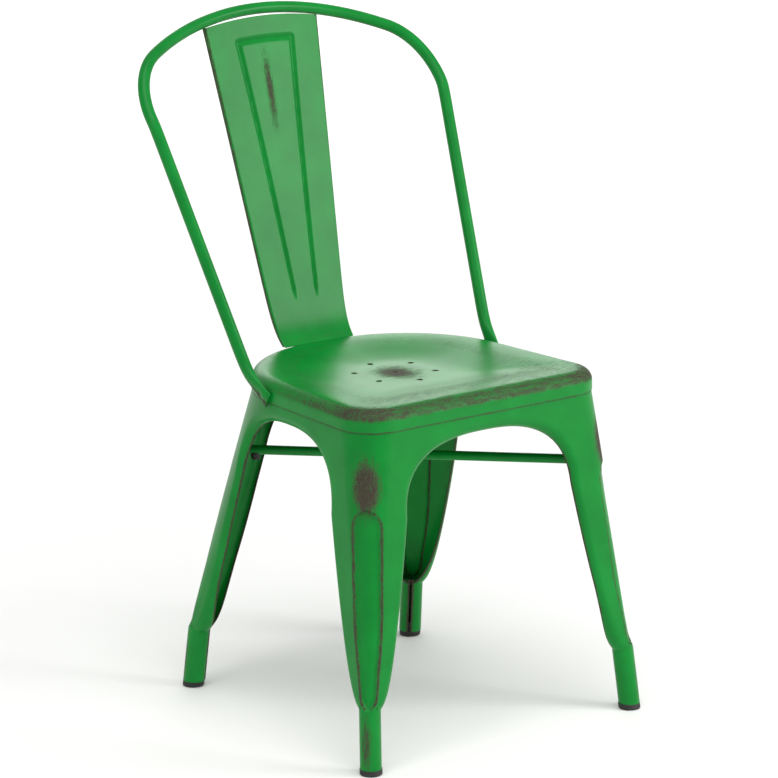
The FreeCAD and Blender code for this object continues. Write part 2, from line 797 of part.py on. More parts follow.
def make_caps():
    """Four rubber feet: a flat-bottomed band under each leg tube and a plug inside it."""
    made = []
    for corner, outward in ((FRONT, -1.0), (REAR, 1.0)):
        other = REAR if outward < 0 else FRONT
        low = Plan(corner, other, 0.0).centre
        high = Plan(corner, other, TUBE_END).centre
        for name, side in (("left", -1.0), ("right", 1.0)):
            label = "%s_%s_foot_cap" % (corner.name, name)
            foot = V(side * low[0], CENTRE_Y + outward * low[1], 0.0)
            top = V(side * high[0], CENTRE_Y + outward * high[1], TUBE_END)
            axis = (top - foot).normalize()
            band = Part.makeLoft([Part.Wire([Part.Circle(p, V(0, 0, 1), r).toShape()])
                                  for p, r in ((foot, size("foot_radius") - CAP_CHAMFER),
                                               (foot + (top - foot) * CAP_CHAMFER_SHARE, size("foot_radius")),
                                               (top, size("foot_radius")))], True, True)
            plug_radius = size("foot_radius") - SKIN - PLUG_GAP
            plug = Part.makeCylinder(plug_radius, TUBE_END / 2.0 + size("cap_plug"),
                                     foot + axis * (TUBE_END / 2.0), axis)
            made.append(pressed_feature(label, band.fuse(plug).removeSplitter()))
    return made


# ---------------------------------------------------------------- under-seat brace

END_PLATE_HALF = 9.0
END_PLATE_GAP = 2.5
STOP_INSET = 16.0
STOP_TAPER = 1.2


def corner_inside(corner, z):
    """The inner face of a leg's corner at height z, behind the flute, as (sideways, outward)."""
    other = REAR if corner is FRONT else FRONT
    x, y = Plan(corner, other, z).point(0.0, size("flute_press") + SKIN)[0]
    return V(x, y, z)


def brace_ends(lift):
    """The bar's two end points: inside the left rear corner and the right front corner."""
    z = BRACE_Z + lift
    low = z - END_PLATE_HALF
    rear = corner_inside(REAR, low)
    front = corner_inside(FRONT, low)
    return V(-rear.x, CENTRE_Y + rear.y, z), V(front.x, CENTRE_Y - front.y, z)


def make_brace():
    """Two crossed tubes under the seat with an end plate and a rubber stop at each end."""
    made = []
    radius = size("brace_radius")
    plate = size("end_plate")
    for mirror, lift, bar_name, ends in (
            (1.0, 0.0, "lower_brace_tube", ("rear_left", "front_right")),
            (-1.0, 2.0 * radius + size("lap_gap"), "upper_brace_tube", ("rear_right", "front_left"))):
        a, b = [V(p.x * mirror, p.y, p.z) for p in brace_ends(lift)]
        run = (b - a).normalize()
        a = a + run * (END_PLATE_GAP + plate)
        b = b - run * (END_PLATE_GAP + plate)
        bar = doc.addObject("Part::Cylinder", bar_name)
        bar.setExpression("Radius", "sizes.brace_radius")
        bar.Height = (b - a).Length
        bar.Placement = FreeCAD.Placement(a, FreeCAD.Rotation(V(0, 0, 1), run))
        bar.Label = bar_name
        made.append(bar)
        for name, end, away in ((ends[0], a, run * -1.0), (ends[1], b, run)):
            made.append(end_plate(name, end, away))
            made.append(rubber_stop(name, end - away * STOP_INSET, bar))
    return made


def end_plate(name, end, away):
    """The plate that welds a brace tube into the corner of a leg."""
    label = name + "_brace_plate"
    plate = doc.addObject("Part::Box", label)
    plate.setExpression("Length", "sizes.end_plate")
    plate.Width = 2.0 * END_PLATE_HALF
    plate.Height = 2.0 * END_PLATE_HALF
    turn = FreeCAD.Rotation(V(1, 0, 0), away)
    back = turn.multVec(V(0, -END_PLATE_HALF, -END_PLATE_HALF))
    plate.Placement = FreeCAD.Placement(end + back, turn)
    plate.Label = label
    return plate


def rubber_stop(name, place, bar):
    """The rubber stop under a brace tube that rests on the chair below in a stack."""
    label = name + "_stack_stop"
    stop = doc.addObject("Part::Cone", label + "_blank")
    stop.setExpression("Radius1", "sizes.bumper_radius - %g" % STOP_TAPER)
    stop.setExpression("Radius2", "sizes.bumper_radius")
    stop.setExpression("Height", "sizes.bumper_drop + sizes.brace_radius / 2")
    drop = V(0, 0, -size("brace_radius") - size("bumper_drop"))
    stop.Placement = FreeCAD.Placement(place + drop, FreeCAD.Rotation())
    cut = doc.addObject("Part::Cut", label)
    cut.Base = stop
    cut.Tool = bar
    cut.Label = label
    return cut


# ---------------------------------------------------------------- build, check and write

def write_parts(pieces):
    """Check every object and every shape, then write one STEP file for each piece."""
    doc.recompute()
    for item in doc.Objects:
        bad = [state for state in item.State if state in ("Invalid", "Error")]
        if bad:
            raise RuntimeError("%s is %s" % (item.Name, bad))
    for piece in pieces:
        shape = piece.Shape
        if shape.isNull() or not shape.isValid() or not shape.Solids:
            raise RuntimeError("%s has no sound solid" % piece.Label)
    os.makedirs("parts", exist_ok=True)
    for piece in pieces:
        piece.Shape.exportStep("parts/%s.step" % piece.Label)


RIVET_HOLES = make_rivet_holes()
PIECES = make_legs()
PIECES.append(make_pan())
PIECES.append(make_hoop())
PIECES.extend(make_rivets())
PIECES.append(make_splat())
PIECES.extend(make_caps())
PIECES.extend(make_brace())
write_parts(PIECES)
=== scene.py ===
"""Pressed-steel stacking chair in worn green enamel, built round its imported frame.

Lengths are in millimetres until a mesh is made, which is in metres. +Z is up, the floor is at
z = 0, the chair faces -Y and x = 0 is its plane of symmetry.
"""
import logging
import math
from dataclasses import dataclass
from enum import Enum

import bmesh
import bpy
import numpy as np
from mathutils import Matrix, Vector


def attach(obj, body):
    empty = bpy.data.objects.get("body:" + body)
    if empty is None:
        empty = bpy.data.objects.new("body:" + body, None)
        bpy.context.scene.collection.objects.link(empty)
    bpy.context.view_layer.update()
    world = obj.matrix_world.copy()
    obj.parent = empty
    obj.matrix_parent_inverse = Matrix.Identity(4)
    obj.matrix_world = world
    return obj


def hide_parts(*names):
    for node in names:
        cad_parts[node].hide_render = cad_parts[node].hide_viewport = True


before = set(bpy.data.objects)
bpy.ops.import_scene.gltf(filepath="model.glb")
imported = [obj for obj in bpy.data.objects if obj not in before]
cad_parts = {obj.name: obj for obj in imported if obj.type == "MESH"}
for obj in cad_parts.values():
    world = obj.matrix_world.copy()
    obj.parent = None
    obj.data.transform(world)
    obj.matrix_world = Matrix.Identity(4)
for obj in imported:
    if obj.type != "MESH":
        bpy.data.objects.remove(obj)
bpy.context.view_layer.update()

LOG = logging.getLogger("stacking_chair")
MM = 0.001
HALF_PI = math.pi / 2.0
FULL_TURN = 2.0 * math.pi
SOFT_CREASE = 38.0  # degrees: pressed sheet and tube are shaded smooth up to here
HARD_CREASE = 50.0  # degrees: the same for small turned pieces
LAP_GAP = 0.1  # air between two pieces that lie on each other
Array = np.ndarray


# ---------------------------------------------------------------- small helpers


def blend(a: Array, b: Array, share: Array) -> Array:
    """Straight-line blend from a to b."""
    return a + (b - a) * share


def ease(share: Array) -> Array:
    """Smooth step from 0 to 1: 3k^2 - 2k^3."""
    k = np.clip(share, 0.0, 1.0)
    return k * k * (3.0 - 2.0 * k)


def bump(offset: Array, width: float) -> Array:
    """A bell of height 1 and the given half width: exp(-(offset / width)^2)."""
    return np.exp(-((offset / width) ** 2))


def circle_angles(count: int) -> Array:
    """Even angles round one full turn, each given once."""
    return np.linspace(0.0, FULL_TURN, count, endpoint=False)


def squared_circle(angle: Array, power: float | Array) -> tuple[Array, Array]:
    """Cosine and sine of a superellipse, sign(c) |c|^p: squarer the smaller the power."""
    across, up = np.cos(angle), np.sin(angle)
    return np.sign(across) * np.abs(across) ** power, np.sign(up) * np.abs(up) ** power


def linear(code: str, alpha: float = 1.0) -> tuple[float, float, float, float]:
    """Turn an sRGB hex colour to the linear values a shader takes.

    Args:
        code: Six hex digits after a #.
        alpha: Opacity.

    Returns:
        Linear red, green, blue and alpha.
    """
    parts = [int(code[i:i + 2], 16) / 255.0 for i in (1, 3, 5)]
    tones = [c / 12.92 if c <= 0.04045 else ((c + 0.055) / 1.055) ** 2.4 for c in parts]
    return tones[0], tones[1], tones[2], alpha


# ---------------------------------------------------------------- meshes from grids


@dataclass
class Skin:
    """Points, quads and wear of one closed surface.

    Attributes:
        points: (count, 3) places in millimetres.
        quads: (count, 4) corner indices.
        wear: (count,) how rubbed the enamel is at each point, from 0 to 1.
    """

    points: Array
    quads: Array
    wear: Array


def unit(vectors: Array) -> Array:
    """The vectors at length 1."""
    return vectors / np.maximum(np.linalg.norm(vectors, axis=-1, keepdims=True), 1e-9)


def grid_normals(grid: Array) -> Array:
    """Unit normals of a grid: the cross product of its row and column slopes."""
    return unit(np.cross(np.gradient(grid, axis=0), np.gradient(grid, axis=1)))


def grid_quads(rows: int, columns: int, wrap_rows: bool = False,
               wrap_columns: bool = False) -> Array:
    """Quads of a grid whose points run row by row.

    Args:
        rows: Number of rows.
        columns: Number of columns.
        wrap_rows: Join the last row to the first.
        wrap_columns: Join the last column to the first.

    Returns:
        (count, 4) corner indices.
    """
    index = np.arange(rows * columns).reshape(rows, columns)
    if wrap_rows:
        index = np.vstack((index, index[:1]))
    if wrap_columns:
        index = np.hstack((index, index[:, :1]))
    corners = (index[:-1, :-1], index[:-1, 1:], index[1:, 1:], index[1:, :-1])
    return np.stack([c.ravel() for c in corners], axis=1)


def pressed_skin(outer: Array, thickness: float, wear: Array, outward: Array) -> Skin:
    """A piece of sheet metal: its outer face, the same face moved inwards, and the cut edge.

    Args:
        outer: (rows, columns, 3) outer face.
        thickness: Sheet thickness.
        wear: (rows, columns) wear of the outer face.
        outward: A direction that the middle of the outer face looks in.

    Returns:
        The closed surface.
    """
    rows, columns = outer.shape[:2]
    normals = grid_normals(outer)
    middle = normals[rows // 2, columns // 2]
    if np.dot(middle, outward) < 0.0:
        normals = -normals
    inner = outer - normals * thickness
    count = rows * columns
    face = grid_quads(rows, columns)
    index = np.arange(count).reshape(rows, columns)
    rim = np.concatenate((index[0, :-1], index[:-1, -1], index[-1, :0:-1], index[:0:-1, 0]))
    after = np.roll(rim, -1)
    strip = np.stack((after, rim, rim + count, after + count), axis=1)
    quads = np.vstack((face, face[:, ::-1] + count, strip))
    points = np.vstack((outer.reshape(-1, 3), inner.reshape(-1, 3)))
    return Skin(points, quads, np.concatenate((wear.ravel(), wear.ravel())))


def ringed_skin(rings: Array, wear: Array) -> Skin:
    """A surface of closed rings whose first and last rings are filled by quads to their middles.

    Args:
        rings: (rows, columns, 3) points; each row is a closed ring.
        wear: (rows, columns) wear.

    Returns:
        The closed surface; each end is drawn in to a point.
    """
    first = np.broadcast_to(rings[:1].mean(axis=1, keepdims=True), rings[:1].shape)
    last = np.broadcast_to(rings[-1:].mean(axis=1, keepdims=True), rings[-1:].shape)
    full = np.concatenate((first, rings, last))
    full_wear = np.vstack((wear[:1], wear, wear[-1:]))
    rows, columns = full.shape[:2]
    quads = grid_quads(rows, columns, wrap_columns=True)
    return Skin(full.reshape(-1, 3), quads, full_wear.ravel())


def signed_volume(skin: Skin) -> float:
    """Six times the volume that the quads enclose, negative if they face inwards."""
    a, b, c, d = (skin.points[skin.quads[:, k]] for k in range(4))
    return float(np.einsum("ij,ij->", a, np.cross(b, c)) + np.einsum("ij,ij->", a, np.cross(c, d)))


def make_piece(name: str, skins: list[Skin], crease: float = SOFT_CREASE) -> bpy.types.Object:
    """Put closed skins into one mesh object at the origin.

    Args:
        name: Object name.
        skins: Closed surfaces in millimetres.
        crease: Edges sharper than this many degrees are shaded sharp.

    Returns:
        The object, with a point attribute "wear".
    """
    points, quads, wear = [], [], []
    base = 0
    for skin in skins:
        faces = skin.quads if signed_volume(skin) > 0.0 else skin.quads[:, ::-1]
        points.append(skin.points * MM)
        quads.append(faces + base)
        wear.append(skin.wear)
        base += len(skin.points)
    mesh = bpy.data.meshes.new(name)
    mesh.from_pydata(np.vstack(points).tolist(), [], np.vstack(quads).tolist())
    store_wear(mesh, np.concatenate(wear))
    weld(mesh)
    mesh.shade_smooth()
    mesh.set_sharp_from_angle(angle=math.radians(crease))
    piece = bpy.data.objects.new(name, mesh)
    bpy.context.scene.collection.objects.link(piece)
    return piece


def weld(mesh: bpy.types.Mesh) -> None:
    """Merge the points that lie on one another and drop the faces that this empties."""
    work = bmesh.new()
    work.from_mesh(mesh)
    bmesh.ops.remove_doubles(work, verts=work.verts, dist=1e-6)
    bmesh.ops.dissolve_degenerate(work, edges=work.edges, dist=1e-7)
    work.to_mesh(mesh)
    work.free()
    mesh.update()


def store_wear(mesh: bpy.types.Mesh, wear: Array) -> None:
    """Keep the wear of each point as the attribute "wear"."""
    layer = mesh.attributes.get("wear") or mesh.attributes.new("wear", "FLOAT", "POINT")
    layer.data.foreach_set("value", np.clip(wear, 0.0, 1.0).astype(np.float32))


def mesh_points(mesh: bpy.types.Mesh) -> Array:
    """The points of a mesh in millimetres."""
    flat = np.empty(len(mesh.vertices) * 3, np.float32)
    mesh.vertices.foreach_get("co", flat)
    return flat.reshape(-1, 3) / MM


def settle(piece: bpy.types.Object, material: bpy.types.Material, slot: str, *nodes: str) -> None:
    """Dress a piece, let it ride on the body and stand for its CAD nodes."""
    piece.data.materials.clear()
    piece.data.materials.append(material)
    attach(piece, "root")
    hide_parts(*nodes)
    LOG.info("%s: %d faces", piece.name, len(piece.data.polygons))


# ---------------------------------------------------------------- finishes


def add_node(tree: bpy.types.NodeTree, kind: str, inputs: dict | None = None,
             **settings: object) -> bpy.types.Node:
    """Add one node, set it and fill or link its inputs.

    Args:
        tree: The node tree.
        kind: Node type.
        inputs: Input name or number to a value, or to a socket that feeds it.
        **settings: Properties of the node.

    Returns:
        The new node.
    """
    node = tree.nodes.new(kind)
    for word, value in settings.items():
        setattr(node, word, value)
    for key, value in (inputs or {}).items():
        if isinstance(value, bpy.types.NodeSocket):
            tree.links.new(value, node.inputs[key])
        else:
            node.inputs[key].default_value = value
    return node


def start_material(name: str
                   ) -> tuple[bpy.types.Material, bpy.types.NodeTree, bpy.types.NodeSocket]:
    """A material with an empty tree, the tree, and its Object coordinates."""
    material = bpy.data.materials.new(name)
    material.use_nodes = True
    tree = material.node_tree
    tree.nodes.clear()
    return material, tree, add_node(tree, "ShaderNodeTexCoord").outputs["Object"]


class Streak(Enum):
    """Which way the rubbed streaks of a finish run, as grain sizes in millimetres."""

    UP = (2.2, 2.2, 30.0)
    ACROSS = (16.0, 2.4, 16.0)
    ALL_ROUND = (4.0, 4.0, 9.0)


@dataclass(frozen=True)
class WornEnamel:
    """Oven-cured enamel sprayed on mild steel, rubbed through to dark primer on its edges.

    The film is smooth and half gloss, so it keeps a soft pale sheen. Where it is rubbed the
    primer shows matte and brown, and the film ends in a thin step.

    Attributes:
        name: Material name.
        film: Colour of the enamel.
        thin: Colour where the film is thinner or chalky.
        primer: Colour of the rubbed primer.
        rubbed: Colour of the most rubbed primer.
        gloss: Roughness of the film.
        bare: Roughness where the film is gone.
        ior: Index of refraction of the cured film.
        shine: How strongly the film reflects head on.
        streak: Which way the rubbed streaks run.
        breakup: How far streaks and specks shift the wear.
        worn: The wear at which the film starts to go, and at which it is all gone.
        cloud_size: Size of the faint clouds in millimetres.
        speck_size: Size of the chips.
        tone_size: Size of the patches in the primer.
        peel_size: Size of the orange peel.
        step: Height of the film's edge.
        peel: Height of the orange peel.
    """

    name: str
    film: str = "#007A29"
    thin: str = "#078A32"
    primer: str = "#2C271F"
    rubbed: str = "#514A3E"
    gloss: float = 0.34
    bare: float = 0.72
    ior: float = 1.5
    shine: float = 0.2
    streak: Streak = Streak.UP
    breakup: float = 0.32
    worn: tuple[float, float] = (0.22, 1.0)
    cloud_size: float = 60.0
    speck_size: float = 1.6
    tone_size: float = 3.0
    peel_size: float = 2.0
    step: float = 0.08
    peel: float = 0.05

    def build(self) -> bpy.types.Material:
        """Make the material from the wear attribute and Object coordinates."""
        material, tree, place = start_material(self.name)
        wear = add_node(tree, "ShaderNodeAttribute", attribute_name="wear").outputs["Fac"]
        mask = self.rubbed_mask(tree, place, wear)
        colour = self.film_colour(tree, place, mask)
        rough = add_node(tree, "ShaderNodeMix", {0: mask, 2: self.gloss, 3: self.bare}).outputs[0]
        shader = add_node(tree, "ShaderNodeBsdfPrincipled", {
            "Base Color": colour, "Roughness": rough, "IOR": self.ior,
            "Specular IOR Level": self.shine, "Normal": self.surface_bumps(tree, place, mask)})
        add_node(tree, "ShaderNodeOutputMaterial", {"Surface": shader.outputs[0]})
        return material

    def grain(self, tree: bpy.types.NodeTree, place: bpy.types.NodeSocket,
              sizes: tuple[float, float, float], detail: float = 3.0) -> bpy.types.NodeSocket:
        """Noise whose grain has the given sizes in millimetres along X, Y and Z."""
        scale = tuple(1.0 / (s * MM) for s in sizes)
        moved = add_node(tree, "ShaderNodeMapping", {"Vector": place, "Scale": scale})
        noise = add_node(tree, "ShaderNodeTexNoise", {
            "Vector": moved.outputs[0], "Scale": 1.0, "Detail": detail, "Roughness": 0.6})
        return noise.outputs["Fac"]

    def rubbed_mask(self, tree: bpy.types.NodeTree, place: bpy.types.NodeSocket,
                    wear: bpy.types.NodeSocket) -> bpy.types.NodeSocket:
        """Where the film is gone: the wear, broken up by streaks and specks."""
        streaks = self.grain(tree, place, self.streak.value)
        specks = self.grain(tree, place, (self.speck_size,) * 3, 2.0)
        both = add_node(tree, "ShaderNodeMath", {0: streaks, 1: specks}, operation="ADD")
        spread = add_node(tree, "ShaderNodeMapRange", {
            "Value": both.outputs[0], "From Min": 0.7, "From Max": 1.3,
            "To Min": -self.breakup, "To Max": self.breakup})
        total = add_node(tree, "ShaderNodeMath", {0: wear, 1: spread.outputs[0]}, operation="ADD")
        cut = add_node(tree, "ShaderNodeMapRange", {
            "Value": total.outputs[0], "From Min": self.worn[0], "From Max": self.worn[1]},
            interpolation_type="SMOOTHSTEP")
        return cut.outputs[0]

    def film_colour(self, tree: bpy.types.NodeTree, place: bpy.types.NodeSocket,
                    mask: bpy.types.NodeSocket) -> bpy.types.NodeSocket:
        """Enamel with faint clouds, turning to primer where it is rubbed."""
        clouds = self.grain(tree, place, (self.cloud_size,) * 3)
        share = add_node(tree, "ShaderNodeMapRange", {
            "Value": clouds, "From Min": 0.35, "From Max": 0.7, "To Max": 0.8})
        film = add_node(tree, "ShaderNodeMix", {
            0: share.outputs[0], 6: linear(self.film), 7: linear(self.thin)}, data_type="RGBA")
        tone = self.grain(tree, place, (self.tone_size,) * 3)
        bare = add_node(tree, "ShaderNodeMix", {
            0: tone, 6: linear(self.primer), 7: linear(self.rubbed)}, data_type="RGBA")
        return add_node(tree, "ShaderNodeMix", {
            0: mask, 6: film.outputs[2], 7: bare.outputs[2]}, data_type="RGBA").outputs[2]

    def surface_bumps(self, tree: bpy.types.NodeTree, place: bpy.types.NodeSocket,
                      mask: bpy.types.NodeSocket) -> bpy.types.NodeSocket:
        """The step where the film ends and the faint orange peel of the sprayed film."""
        peel = self.grain(tree, place, (self.peel_size,) * 3, 1.0)
        step = add_node(tree, "ShaderNodeBump", {
            "Height": mask, "Strength": 0.35, "Distance": self.step * MM}, invert=True)
        skin = add_node(tree, "ShaderNodeBump", {
            "Height": peel, "Strength": 0.12, "Distance": self.peel * MM,
            "Normal": step.outputs[0]})
        return skin.outputs[0]


@dataclass(frozen=True)
class MouldedRubber:
    """Compression-moulded EPDM rubber: near black and matte, with a faint grey bloom of dust."""

    name: str
    black: str = "#141414"
    bloom: str = "#2B2B2A"
    roughness: float = 0.62
    grain_size: float = 1.2

    def build(self) -> bpy.types.Material:
        """Make the material from Object coordinates."""
        material, tree, place = start_material(self.name)
        fine = add_node(tree, "ShaderNodeTexNoise", {
            "Vector": place, "Scale": 1.0 / (self.grain_size * MM), "Detail": 2.0})
        broad = add_node(tree, "ShaderNodeTexNoise", {"Vector": place, "Scale": 1.0 / (12.0 * MM)})
        colour = add_node(tree, "ShaderNodeMix", {
            0: broad.outputs["Fac"], 6: linear(self.black), 7: linear(self.bloom)},
            data_type="RGBA")
        grain = add_node(tree, "ShaderNodeBump", {
            "Height": fine.outputs["Fac"], "Strength": 0.3, "Distance": 0.05 * MM})
        shader = add_node(tree, "ShaderNodeBsdfPrincipled", {
            "Base Color": colour.outputs[2], "Roughness": self.roughness, "IOR": 1.52,
            "Normal": grain.outputs[0]})
        add_node(tree, "ShaderNodeOutputMaterial", {"Surface": shader.outputs[0]})
        return material


# ---------------------------------------------------------------- pressed body


@dataclass(frozen=True)
class PressedBody:
    """Sizes that the seat pan and the legs share."""

    seam: float = 407.7
    centre_y: float = -30.3
    sheet: float = 1.2
    lap: float = 1.3
    foot_radius: float = 13.8
    tube_top: float = 85.0
    tube_end: float = 7.0
    flute_press: float = 4.5


BODY = PressedBody()


@dataclass(frozen=True)
class BodyCorner:
    """One corner of the pressed body at the seam, how far its foot stands out, and its leg.

    Attributes:
        name: front or rear.
        half: Half width where the two faces would meet at the seam.
        reach: Distance from the seat centre to that meeting point along Y.
        radius: Corner radius at the seam.
        splay: How much further out sideways the foot is.
        rake: How much further out along Y the foot is.
        face: Width of the leg beside the front or rear arch.
        side: Width of the leg beside the side arch.
        joint: Distance from the seat centre to the joint in the side.
        outward: -1 for the front, +1 for the rear.
    """

    name: str
    half: float
    reach: float
    radius: float
    splay: float
    rake: float
    face: float
    side: float
    joint: float
    outward: float

    def meeting(self, z: Array) -> tuple[Array, Array]:
        """Where the faces would meet at height z: straight lines from seam to floor."""
        down = (BODY.seam - z) / BODY.seam
        return self.half + self.splay * down, self.reach + self.rake * down

    def corner_radius(self, z: Array) -> Array:
        """The tube's radius up to its top, then a straight rise to the seam's radius."""
        rise = np.maximum(0.0, z - BODY.tube_top) / (BODY.seam - BODY.tube_top)
        return blend(BODY.foot_radius, self.radius, rise)


FRONT = BodyCorner("front", 189.6, 184.3, 44.1, 28.6, 45.0, 52.6, 56.3, 10.0, -1.0)
REAR = BodyCorner("rear", 168.5, 162.5, 157.1, 19.1, 50.2, 78.5, 61.5, -10.0, 1.0)


class SheetPlan:
    """The body's outline round one corner at heights z, along the sheet from mid-corner."""

    def __init__(self, corner: BodyCorner, other: BodyCorner, z: Array) -> None:
        """Work out the side's direction and the arc at each height."""
        self.half, self.reach = corner.meeting(z)
        other_half, other_reach = other.meeting(z)
        run = np.hypot(other_half - self.half, other_reach + self.reach)
        self.side_x = (other_half - self.half) / run
        self.side_y = -(other_reach + self.reach) / run
        self.radius = corner.corner_radius(z)
        self.turn = math.pi - np.arccos(-self.side_x)
        self.tangent = self.radius * np.tan(self.turn / 2.0)
        self.half_arc = self.radius * self.turn / 2.0

    def middle(self, joint: float | None) -> Array:
        """Distance from mid-corner to the plane of symmetry, or to the joint in the side."""
        if joint is None:
            return self.half - self.tangent + self.half_arc
        return (self.reach - joint) / -self.side_y - self.tangent + self.half_arc

    def point(self, along: Array, inset: Array) -> tuple[Array, Array, Array, Array]:
        """Sideways and outward place and normal at a distance along the sheet.

        Straight before the arc, then the arc, then straight along the side.
        """
        angle = np.clip(along / self.radius + self.turn / 2.0, 0.0, self.turn)
        over = np.sin(angle)
        out = np.cos(angle)
        past_front = np.maximum(0.0, -along - self.half_arc)
        past_side = np.maximum(0.0, along - self.half_arc)
        bend = self.radius - inset
        x = self.half - self.tangent + over * bend - past_front + self.side_x * past_side
        y = self.reach - self.radius + out * bend + self.side_y * past_side
        return x, y, over, out


@dataclass
class PressedLeg:
    """One leg: a quarter of the apron that runs down between two arches into a split tube."""

    corner: BodyCorner
    other: BodyCorner
    hand: str
    arch_drop: float = 8.7
    arch_rise: float = 99.0
    arch_roll: float = 15.0
    edge_roll: float = 9.0
    arch_power: float = 2.5
    slit_turn: float = math.radians(133.5)
    closing_share: float = 0.65
    tuck: float = 5.0
    top_edge_share: float = 0.18
    flute_drop: float = 91.7
    flute_foot: float = 80.0
    flute_half: float = 20.0
    flute_wall: float = 4.0
    arch_spans: int = 12
    taper_spans: int = 14
    tube_spans: int = 4
    rows_per_span: int = 6
    face_columns: int = 84
    roll_columns: int = 16

    def line_beside_arch(self, index: Array, width: float, joint: float | None
                         ) -> tuple[Array, Array, Array]:
        """The crease beside one arch from its crown to the foot.

        A superellipse |x|^p + |z|^p = 1 down to the spring, then a parabola in height that
        narrows evenly to the tube, then the tube itself.

        Args:
            index: Row numbers, in spans.
            width: Width of the leg beside the arch at the seam.
            joint: None for the front or rear arch, else the joint in the side.

        Returns:
            Distance along the sheet from mid-corner, height, and how tube-like the section is.
        """
        crown = BODY.seam - self.arch_drop
        spring = crown - self.arch_rise
        power = 2.0 / self.arch_power
        opening = self.corner.half if joint is None else self.corner.reach - joint
        angle = np.clip(index / self.arch_spans, 0.0, 1.0) * HALF_PI
        left = 1.0 - np.clip((index - self.arch_spans) / self.taper_spans, 0.0, 1.0)
        down = np.clip((index - self.arch_spans - self.taper_spans) / self.tube_spans, 0.0, 1.0)
        arch_z = spring + self.arch_rise * np.maximum(0.0, np.cos(angle)) ** power
        taper_z = BODY.tube_top + (spring - BODY.tube_top) * left ** 2
        tube_z = blend(BODY.tube_top, BODY.tube_end, down)
        z = np.where(index <= self.arch_spans, arch_z, np.where(left > 0.0, taper_z, tube_z))
        plan = SheetPlan(self.corner, self.other, z)
        gap = (opening - width) * np.sin(angle) ** power
        at_spring = SheetPlan(self.corner, self.other, np.array(spring))
        spring_width = (at_spring.middle(joint) - (opening - width)
                        - at_spring.half_arc + at_spring.tangent)
        narrow = blend(BODY.foot_radius, spring_width, left) - plan.tangent + plan.half_arc
        along = np.where(index <= self.arch_spans, plan.middle(joint) - gap, narrow)
        return along, z, ease(1.0 - left / self.closing_share)

    def flute_edge(self, z: Array) -> Array:
        """Half width of the flute: narrower towards the foot, with round ends."""
        top = BODY.seam - self.flute_drop
        level = (z - self.flute_foot) / (top - self.flute_foot)
        narrow = blend(0.62, 1.0, ease(level / 0.45))
        from_end = np.clip(np.minimum((1.0 - level) * 10.0, level * 14.0), 0.0, 1.0)
        return self.flute_half * narrow * np.sqrt(from_end * (2.0 - from_end))

    def place(self, along: Array, z: Array) -> tuple[Array, Array]:
        """Outer face of the leg, as (..., 3) points and normals."""
        plan = SheetPlan(self.corner, self.other, z)
        sunk = BODY.flute_press * ease((self.flute_edge(z) - np.abs(along)) / self.flute_wall)
        x, y, over, out = plan.point(along, sunk)
        return np.stack((x, y, z), axis=-1), np.stack((over, out, np.zeros_like(z)), axis=-1)

    def rolled_edge(self, line: tuple[Array, Array, Array], joint: float | None
                    ) -> tuple[Array, Array]:
        """The rolled band from the crease to the cut edge.

        A circle arc that leaves the face at the crease and turns into the leg; its radius falls
        from the crown to the spring and becomes the tube's own, and its turn grows until the
        tube is closed to a slit.

        Args:
            line: What line_beside_arch gave.
            joint: None for the front or rear arch, else the joint in the side.

        Returns:
            (rows, columns, 3) points and the distance of each from the cut edge.
        """
        along, z, tube = (part[:, None] for part in line)
        run = np.concatenate((np.gradient(along, axis=0), np.gradient(z, axis=0)), axis=1)
        run[0] = (-1.0, 0.0)
        run = unit(run)
        spring = BODY.seam - self.arch_drop - self.arch_rise
        crown = np.clip((z - spring) / self.arch_rise, 0.0, 1.0)
        radius = blend(blend(self.edge_roll, self.arch_roll, crown), BODY.foot_radius, tube)
        turn = blend(HALF_PI, self.slit_turn, tube)
        step = np.arange(1, self.roll_columns + 1) / self.roll_columns
        share = 1.0 - (1.0 - step)[None, :] ** 1.4
        angle = turn * share
        reach = radius * np.sin(angle)
        level = z + run[:, :1] * reach
        gap = SheetPlan(self.corner, self.other, z).middle(joint) - along
        spread = SheetPlan(self.corner, self.other, level).middle(joint) - gap - run[:, 1:] * reach
        sign = -1.0 if joint is None else 1.0
        base, normal = self.place(sign * spread, level)
        depth = (radius * (1.0 - np.cos(angle)))[..., None]
        return base - normal * depth, radius * turn * (1.0 - share)

    def face(self, index: Array, front: tuple[Array, ...], side: tuple[Array, ...]
             ) -> tuple[Array, Array]:
        """Distances and heights between the two creases, row by row.

        A row leaves the crease square to it: with the arch turned by a, it climbs to the seam by
        cos(a) of the rise and spreads evenly by sin(a). Gaps are kept from the joints.

        Args:
            index: Row numbers, in spans.
            front: The crease beside the front or rear arch.
            side: The crease beside the side arch.

        Returns:
            Distances along the sheet and heights, (rows, columns) each.
        """
        turn = HALF_PI * np.clip(index / self.arch_spans, 0.0, 1.0)[:, None]
        share = np.linspace(0.0, 1.0, self.face_columns + 1)[None, :]
        lift = np.clip(np.minimum(share, 1.0 - share) / self.top_edge_share, 0.0, 1.0)
        rise = self.tuck + self.arch_drop
        z = blend(front[1][:, None], side[1][:, None], share) + rise * lift * np.cos(turn)
        joint = self.corner.joint
        front_gap = SheetPlan(self.corner, self.other, front[1]).middle(None) - front[0]
        side_gap = SheetPlan(self.corner, self.other, side[1]).middle(joint) - side[0]
        plan = SheetPlan(self.corner, self.other, z)
        middle = 1.0 - 2.0 * self.top_edge_share
        across = np.clip((share - self.top_edge_share) / middle, 0.0, 1.0)
        left = front_gap[:, None] - plan.middle(None)
        right = plan.middle(joint) - side_gap[:, None]
        return blend(left, right, blend(across, share, np.sin(turn))), z

